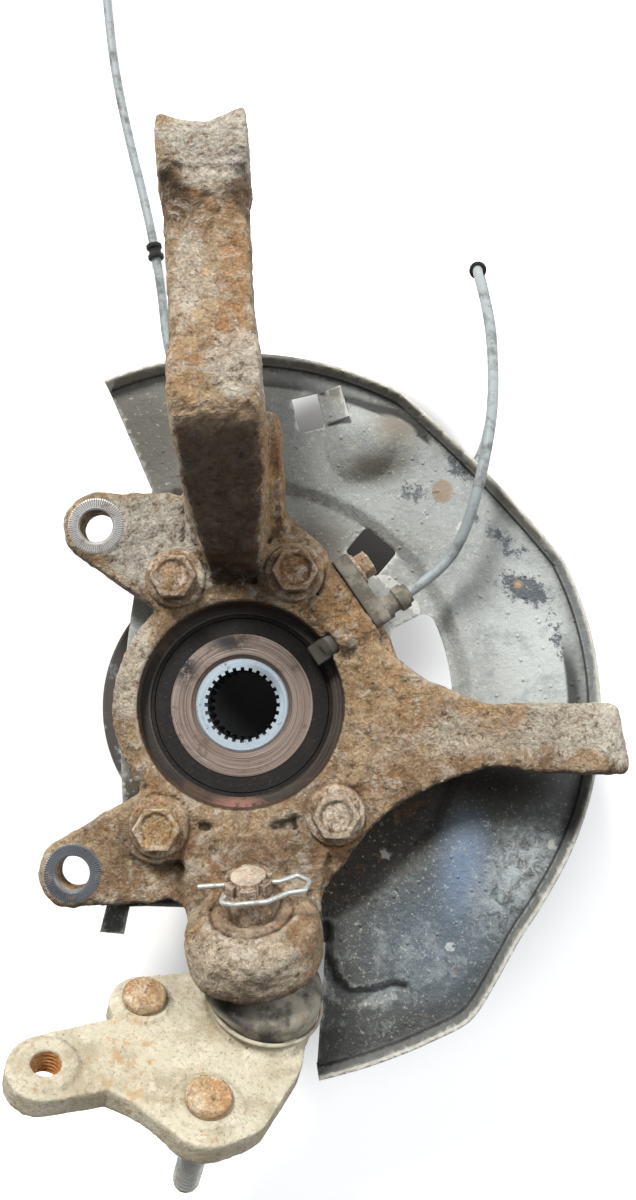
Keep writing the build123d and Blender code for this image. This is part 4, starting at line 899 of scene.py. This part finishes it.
# raised rings round the nut, as (radius, width, height)
NUT_RINGS = ((19.2, 2.1, 1.4), (13.6, 1.4, 1.2), (16.3, 1.3, -0.7))
NUT_RINGS_IN_R = 11
NUT_RINGS_LEVEL = 42              # along the stud's axis
# slope between the neck and the upper clamp boss, and the boss's two lobes, as (place
# across the arm, width across, y, width along, height)
STRUT_FILL = ((0, 8.5, 197, 9, 5.0), (-10.5, 5.5, 199, 7.5, 4.5), (10.5, 5.5, 199, 7.5, 4.5))
STRUT_FILL_Z = 106.5
STRUT_LOW = (-7, 114.8)
STRUT_LEAN = 4

p = points_of(knuckle)
along, off = from_stud(p)
lift = sum(height * np.exp(-(((off - radius) / wide) ** 2)) for radius, wide, height in NUT_RINGS)
lift = lift * (along > NUT_RINGS_LEVEL) * np.clip((off - NUT_RINGS_IN_R) / 1.5, 0, 1)
p += np.outer(lift, np.array(STUD_AXIS))
across = p[:, 0] - (STRUT_LOW[0] - (p[:, 1] - STRUT_LOW[1]) * math.tan(math.radians(STRUT_LEAN)))
fill = sum(
    height * np.exp(-(((across - side) / wide) ** 2) - ((p[:, 1] - y) / tall) ** 2)
    for side, wide, y, tall, height in STRUT_FILL
)
p[:, 2] += fill * np.clip(p[:, 2] - STRUT_FILL_Z, 0, 1)
move_points(knuckle, p)

# machined faces round the caliper holes, as (radius, height, tooth), with radial serrations
EAR_TEETH = 72
EAR_PROFILE = (
    (7.0, -6.0, 0), (7.0, -0.5, 0), (7.6, 0.05, 0), (8.4, 0.14, 0.24),
    (11.2, 0.14, 0.32), (11.8, -0.1, 0.1), (12.1, -1.2, 0),
)
for index, (x, y) in enumerate(EARS):
    steps = 3 * EAR_TEETH
    bm = bmesh.new()
    loops = []
    for radius, height, tooth in EAR_PROFILE:
        loop = []
        for i in range(steps):
            a = 2 * math.pi * i / steps
            z = EAR_FACE_Z + height + tooth * (1 if i % 3 == 0 else -0.5)
            loop.append(bm.verts.new(mm(x + radius * math.cos(a), y + radius * math.sin(a), z)))
        loops.append(loop)
    ring_faces(bm, loops)
    bmesh.ops.recalc_face_normals(bm, faces=bm.faces)
    face = paint(from_bmesh(f"ear_face_{index}", bm, smooth=False), EAR_FACE)
    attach(face, "upright")

# ------------------------------------------------------------ hub bolts
remeshed("worn_hub_bolts", ["hub_bolts"], 0.62, soften=12, lumps=((6, 0.7), (1.8, 0.4)), material=BOLT_RUST)

# ------------------------------------------------------------ ball joint
housing = remeshed(
    "forged_joint",
    ["ball_joint_housing"], 0.9, soften=7, lumps=((14, 0.7), (3, 0.35)), body="joint_housing",
    material=JOINT_DUST,
)


def step(x, low, high):
    t = np.clip((x - low) / (high - low), 0, 1)
    return t * t * (3 - 2 * t)


# the plate's outline, in the plate's plane: a fuller right side
SIDE_START, SIDE_WAY, SIDE_OUT = (
    np.array(pair) for pair in ((12.0, -10.7), (-0.295, -0.956), (0.956, -0.295))
)
SIDE_GAIN = 5.0
SIDE_RISE, SIDE_FALL = (-4, 17), (44, 58)
SIDE_REACH = 8.5
# and a web in the notch beside the lower pin, from the solid's edge to the web's
NOTCH_EDGE = (
    (-56, -49.3), (-44.4, -44.7), (-43.2, -44.5), (-42, -45.2), (-36, -55.4), (-34, -58.8), (-32, -61.2),
)
WEB_EDGE = ((-56, -49.3), (-46.5, -52.6), (-43.4, -54.4), (-37.5, -57.9), (-32, -61.2))
WEB_REACH = 9
WEB_ROUNDS = 14

plate_u, plate_v = (np.array(way) for way in basis(PLATE_AXIS))
p = points_of(housing)
away = p - np.array(BALL_CENTRE)
at = np.stack((away @ plate_u, away @ plate_v), axis=1)
along = (at - SIDE_START) @ SIDE_WAY
inside = np.clip(-(at - SIDE_START) @ SIDE_OUT, 0, None)
gain = SIDE_GAIN * step(along, *SIDE_RISE) * (1 - step(along, *SIDE_FALL))
push = np.outer(gain * np.exp(-((inside / SIDE_REACH) ** 2)), SIDE_OUT)
edge_v = np.interp(at[:, 0], *zip(*NOTCH_EDGE))
web_v = np.interp(at[:, 0], *zip(*WEB_EDGE))
reached = (at[:, 0] > WEB_EDGE[0][0]) & (at[:, 0] < WEB_EDGE[-1][0])
drop = np.where(reached, np.clip(edge_v - web_v, 0, None), 0)
push[:, 1] -= drop * np.exp(-((np.clip(at[:, 1] - edge_v, 0, None) / WEB_REACH) ** 2))
p += np.outer(push[:, 0], plate_u) + np.outer(push[:, 1], plate_v)
move_points(housing, p)
weight_by(housing, "web", np.clip(drop / 4, 0, 1) * (at[:, 1] < edge_v + 6))
even = housing.modifiers.new("web", "SMOOTH")
even.factor = 0.5
even.iterations = WEB_ROUNDS
even.vertex_group = "web"
baked(housing)

remeshed(
    "worn_joint_studs",
    ["joint_studs"], 0.6, soften=3, lumps=((4, 0.35),), body="joint_housing", material=HEAD_RUST,
)
remeshed("worn_castle_nut", ["castle_nut"], 0.35, soften=2, lumps=((3, 0.3), (1, 0.15)), material=NUT_RUST)
paint(nodes["ball_stud"], STUD_RUST)
paint(nodes["nut_clip"], ZINC)
paint(nodes["ball_seat"], NYLON)
paint(nodes["ball_joint_cap"], JOINT_DUST)
paint(nodes["boot_ring_upper"], ZINC)
paint(nodes["boot_ring_lower"], LIP_DUST)

# threads on the studs' lower shanks and in the plate's end hole
PIN_A, PIN_B, PLATE_HOLE = (-48.5, -7.0), (-19.5, -49.0), (-79.5, -43.0)


def thread(name, at, low, high, root, crest, material, pitch=1.75, steps=28):
    """Threaded sleeve square to the plate, from one height to another."""
    u, v = basis(PLATE_AXIS)
    centre = BALL_CENTRE + u * at[0] + v * at[1]
    bm = bmesh.new()
    loops = []
    rows = int((high - low) / pitch * 8)
    for row in range(rows + 1):
        height = low + (high - low) * row / rows
        loop = []
        for i in range(steps):
            turn = i / steps
            phase = (height / pitch + turn) % 1
            radius = root + (crest - root) * (1 - abs(2 * phase - 1))
            t = 2 * math.pi * turn
            out = (u * math.cos(t) + v * math.sin(t)) * radius
            loop.append(bm.verts.new((centre + PLATE_AXIS * height + out) * MM))
        loops.append(loop)
    ring_faces(bm, loops)
    bmesh.ops.recalc_face_normals(bm, faces=bm.faces)
    obj = paint(from_bmesh(name, bm), material)
    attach(obj, "joint_housing")


thread("thread_a", PIN_A, -39.5, -15, 4.9, 5.4, ZINC)
thread("thread_b", PIN_B, -39.5, -15, 4.9, 5.4, ZINC)
thread("plate_thread", PLATE_HOLE, -6.5, 3.6, 5.62, 5.1, THREAD_RUST)


# boot: hoops that turn from the stud's axis (share 0) to the plate's (share 1)
def boot_axis(share):
    return STUD_AXIS.lerp(PLATE_AXIS, share).normalized()


def boot_centre(share, height):
    return BALL_CENTRE + boot_axis(share) * height


def boot_part(name, rows):
    """Rubber wall through rows of (share of the plate's axis, height, radius)."""
    bm = bmesh.new()
    loops = [
        circle(bm, boot_centre(share, height), boot_axis(share), radius, steps=72)
        for share, height, radius in rows
    ]
    ring_faces(bm, loops)
    bmesh.ops.recalc_face_normals(bm, faces=bm.faces)
    obj = from_bmesh(name, bm)
    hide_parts("ball_joint_boot")
    return paint(obj, BOOT)


upper_boot = boot_part("boot_upper", [
    (0, 20.0, 10.4), (0, 24.2, 10.4), (0, 24.5, 11.6), (0, 24.2, 12.6), (0, 23.2, 12.9),
    (0, 21.6, 12.7), (0, 20.4, 13.0), (0.15, 19.4, 14.6), (0.3, 18.6, 17.6), (0.4, 17.7, 20.4),
    (0.5, 16.4, 22.6), (0.5, 15.2, 23.8), (0.5, 13.9, 24.2), (0.6, 12.8, 24.1), (0.75, 11.4, 23.4),
])
lower_boot = boot_part("boot_lower", [
    (0.75, 11.4, 23.4), (0.9, 9.8, 22.8), (1, 8.9, 22.6), (1, 7.9, 22.4), (1, 7.2, 22.3),
    (1, 7.2, 20.6), (1, 8.6, 20.6),
])


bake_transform(upper_boot)
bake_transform(lower_boot)

# ------------------------------------------------------------ speed sensor
remeshed("worn_sensor", ["abs_sensor"], 0.5, soften=3, lumps=((5, 0.25),), material=SENSOR)
remeshed("worn_sensor_bolt", ["abs_sensor_bolt"], 0.4, soften=3, lumps=((2.5, 0.3),), material=BOLT_RUST)

# ------------------------------------------------------------ hub and bearing
paint(nodes["hub"], HUB_STEEL)
paint(nodes["wheel_studs"], ZINC)
paint(nodes["inner_race"], RACE_STEEL)
paint(nodes["bearing_outer_ring"], RING_STEEL)
paint(nodes["encoder_ring"], SEAL)
paint(nodes["inboard_seal"], SEAL)
paint(nodes["outboard_seal"], SEAL)
for name in ("inboard_balls", "outboard_balls"):
    paint(nodes[name], BALLS)
for name in ("inboard_cage", "outboard_cage"):
    paint(nodes[name], NYLON)


# ------------------------------------------------------------ shield
def diced(name, source, step):
    """Copy of a CAD node, cut into small squares in plan so that it can be embossed."""
    bm = bmesh.new()
    bm.from_mesh(nodes[source].data)
    bmesh.ops.remove_doubles(bm, verts=bm.verts, dist=1e-6)
    low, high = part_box(source)
    for axis in (0, 1):
        count = int((high[axis] - low[axis]) / (step * MM))
        for i in range(1, count + 1):
            at = Vector((0, 0, 0))
            at[axis] = low[axis] + i * step * MM
            normal = Vector((0, 0, 0))
            normal[axis] = 1
            everything = bm.verts[:] + bm.edges[:] + bm.faces[:]
            bmesh.ops.bisect_plane(bm, geom=everything, plane_co=at, plane_no=normal, dist=1e-6)
    bmesh.ops.triangulate(bm, faces=bm.faces)
    return from_bmesh(name, bm, smooth=False)


def bump_at(x, y, cx, cy, radius, height):
    d = math.hypot(x - cx, y - cy) / radius
    return height * math.exp(-2.5 * d * d)


SHIELD_GRID = 2.2
# pressed swells and dips, as (x, y, radius, height), and a slight waviness
SWELLS = ((47, 123, 15, 3.2), (67, 119, 19, 4.2), (104, 40, 18, -2.0), (92, -60, 24, 2.0))
WAVE = 0.7
EMBOSS_IN_R, EMBOSS_OUT_R, EMBOSS_FADE = 100, 149, 6
# the S-shaped crease
CURL_DEPTH = 5.0
CURL_HALF = 2.4
CURL = (
    (35.5, -94.8), (36.4, -108.0), (39.7, -117.4), (46, -123.6), (56.5, -122.8), (65, -119.6), (69.2, -120.5),
)
# the lower edge's corner between two straighter stretches, as (angle, width, push)
EDGE_CORNER = ((-54, 4.2, 2.4), (-42, 6, -2.4), (-67, 6, -1.0), (-80, 4, 2.0))
EDGE_IN_R, EDGE_FADE = 118, 26


def line_distance(x, y, route):
    """Distance in plan from a point to a line of points."""
    best = 1e9
    for (ax, ay), (bx, by) in zip(route, route[1:]):
        dx, dy = bx - ax, by - ay
        t = max(0, min(1, ((x - ax) * dx + (y - ay) * dy) / (dx * dx + dy * dy)))
        best = min(best, math.hypot(x - ax - t * dx, y - ay - t * dy))
    return best


shield = diced("pressed_shield", "dust_shield", SHIELD_GRID)
for vertex in shield.data.vertices:
    x, y = vertex.co.x / MM, vertex.co.y / MM
    r = math.hypot(x, y)
    lift = 0.0
    if EMBOSS_IN_R < r < EMBOSS_OUT_R:
        lift = sum(bump_at(x, y, *swell) for swell in SWELLS)
        lift += WAVE * math.sin(x / 23 + 1.3) * math.cos(y / 19)
        lift *= min(1, (r - EMBOSS_IN_R) / EMBOSS_FADE, (EMBOSS_OUT_R - r) / EMBOSS_FADE)
        lift -= CURL_DEPTH * math.exp(-(line_distance(x, y, CURL) / CURL_HALF) ** 2)
    vertex.co.z += lift * MM
    if r > EDGE_IN_R and y < 0:
        angle = math.degrees(math.atan2(y, x))
        push = sum(size * math.exp(-(((angle - at) / wide) ** 2)) for at, wide, size in EDGE_CORNER)
        scale = 1 + push * min(1, (r - EDGE_IN_R) / EDGE_FADE) / r
        vertex.co.x *= scale
        vertex.co.y *= scale
shield.data.shade_smooth()
shield.data.set_sharp_from_angle(angle=math.radians(38))
paint(shield, SHIELD)
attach(shield, "upright")
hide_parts("dust_shield")

# ------------------------------------------------------------ floor and light
FLOOR_HALF = 30.0                 # metres
FLOOR_TONE = (0.86, 0.86, 0.86, 1)
SHADE_TONE = (0.06, 0.058, 0.055, 1)
NEAR_GLOW = 0.5                   # the floor's own light; 1.5 at the horizon
SKY_LIGHT = 0.29                  # the sky's strength as light; the camera sees 1


def combined(tree, operation, a, b):
    n = tree.nodes.new("ShaderNodeMath")
    n.operation = operation
    tree.links.new(a, n.inputs[0])
    tree.links.new(b, n.inputs[1])
    return n.outputs[0]


bm = bmesh.new()
bmesh.ops.create_grid(bm, x_segments=1, y_segments=1, size=FLOOR_HALF)
for vertex in bm.verts:
    vertex.co.z = FLOOR_Z * MM
floor = from_bmesh("floor", bm, smooth=False)
floor_paint = bpy.data.materials.new("floor_paint")
floor_paint.use_nodes = True
tree = floor_paint.node_tree
tree.nodes.clear()
out = tree.nodes.new("ShaderNodeOutputMaterial")
diffuse = tree.nodes.new("ShaderNodeBsdfDiffuse")
tone = tree.nodes.new("ShaderNodeMix")
tone.data_type = "RGBA"
tone.inputs[6].default_value = FLOOR_TONE
tone.inputs[7].default_value = SHADE_TONE
tree.links.new(tone.outputs[2], diffuse.inputs[0])
glow = tree.nodes.new("ShaderNodeEmission")
glow.inputs[0].default_value = (1, 1, 1, 1)
path = tree.nodes.new("ShaderNodeLightPath")
seen = combined(tree, "MAXIMUM", path.outputs["Is Camera Ray"], path.outputs["Is Glossy Ray"])
seen_any = combined(tree, "MAXIMUM", seen, path.outputs["Is Transmission Ray"])
where = tree.nodes.new("ShaderNodeTexCoord")


def reach(x, y, low, high):
    """Rises from 0 at distance low from a point of the floor to 1 at high, in metres."""
    away = tree.nodes.new("ShaderNodeVectorMath")
    away.operation = "DISTANCE"
    tree.links.new(where.outputs["Object"], away.inputs[0])
    away.inputs[1].default_value = (x, y, FLOOR_Z * MM)
    fade = tree.nodes.new("ShaderNodeMapRange")
    fade.interpolation_type = "SMOOTHSTEP"
    tree.links.new(away.outputs["Value"], fade.inputs["Value"])
    fade.inputs["From Min"].default_value = low
    fade.inputs["From Max"].default_value = high
    return fade.outputs[0]


# white away from the part, painted light on the floor under the shield's slot, painted shade on the floor
# under the hub and the upper shield
far = reach(0.02, 0.0, 0.12, 0.20)
slot = reach(0.105, 0.022, 0.060, 0.036)
shade = reach(0.028, 0.030, 0.092, 0.045)
under_shield = reach(0.054, 0.108, 0.082, 0.048)
tree.links.new(combined(tree, "MAXIMUM", shade, under_shield), tone.inputs[0])
glow_share = combined(tree, "MAXIMUM", far, slot)
glow_level = tree.nodes.new("ShaderNodeMath")
glow_level.operation = "MULTIPLY_ADD"
tree.links.new(glow_share, glow_level.inputs[0])
glow_level.inputs[1].default_value = NEAR_GLOW
tree.links.new(reach(0.02, 0.0, 0.45, 1.1), glow_level.inputs[2])
tree.links.new(combined(tree, "MULTIPLY", seen_any, glow_level.outputs[0]), glow.inputs[1])
total = tree.nodes.new("ShaderNodeAddShader")
tree.links.new(diffuse.outputs[0], total.inputs[0])
tree.links.new(glow.outputs[0], total.inputs[1])
tree.links.new(total.outputs[0], out.inputs[0])
paint(floor, floor_paint)

world = bpy.data.worlds.new("world")
scene.world = world
world.use_nodes = True
tree = world.node_tree
tree.nodes.clear()
out = tree.nodes.new("ShaderNodeOutputWorld")
sky = tree.nodes.new("ShaderNodeBackground")
sky_colour = tree.nodes.new("ShaderNodeMix")
sky_colour.data_type = "RGBA"
sky_colour.inputs[6].default_value = (0.93, 0.96, 1.0, 1)
sky_colour.inputs[7].default_value = (1, 1, 1, 1)
tree.links.new(sky_colour.outputs[2], sky.inputs[0])
path = tree.nodes.new("ShaderNodeLightPath")
seen = combined(tree, "MAXIMUM", path.outputs["Is Camera Ray"], path.outputs["Is Transmission Ray"])
level = tree.nodes.new("ShaderNodeMapRange")
level.inputs["To Min"].default_value = SKY_LIGHT
level.inputs["To Max"].default_value = 1.0
tree.links.new(seen, level.inputs["Value"])
tree.links.new(seen, sky_colour.inputs[0])
tree.links.new(level.outputs[0], sky.inputs[1])
tree.links.new(sky.outputs[0], out.inputs[0])


def lamp(name, where, aim, size, power, colour):
    data = bpy.data.lights.new(name, "AREA")
    data.shape = "DISK"
    data.size = size
    data.energy = power
    data.color = colour
    obj = bpy.data.objects.new(name, data)
    obj.location = where
    obj.rotation_euler = (Vector(aim) - Vector(where)).to_track_quat("-Z", "Y").to_euler()
    scene.collection.objects.link(obj)


lamp("key", (-0.50, 1.22, 1.30), (0, 0, 0), 0.5, 53, (1.0, 0.99, 0.96))
lamp("side", (1.2, 0.6, 1.1), (0, 0, 0), 0.9, 17, (0.96, 0.98, 1.0))

# ------------------------------------------------------------ final update
bpy.context.view_layer.update()
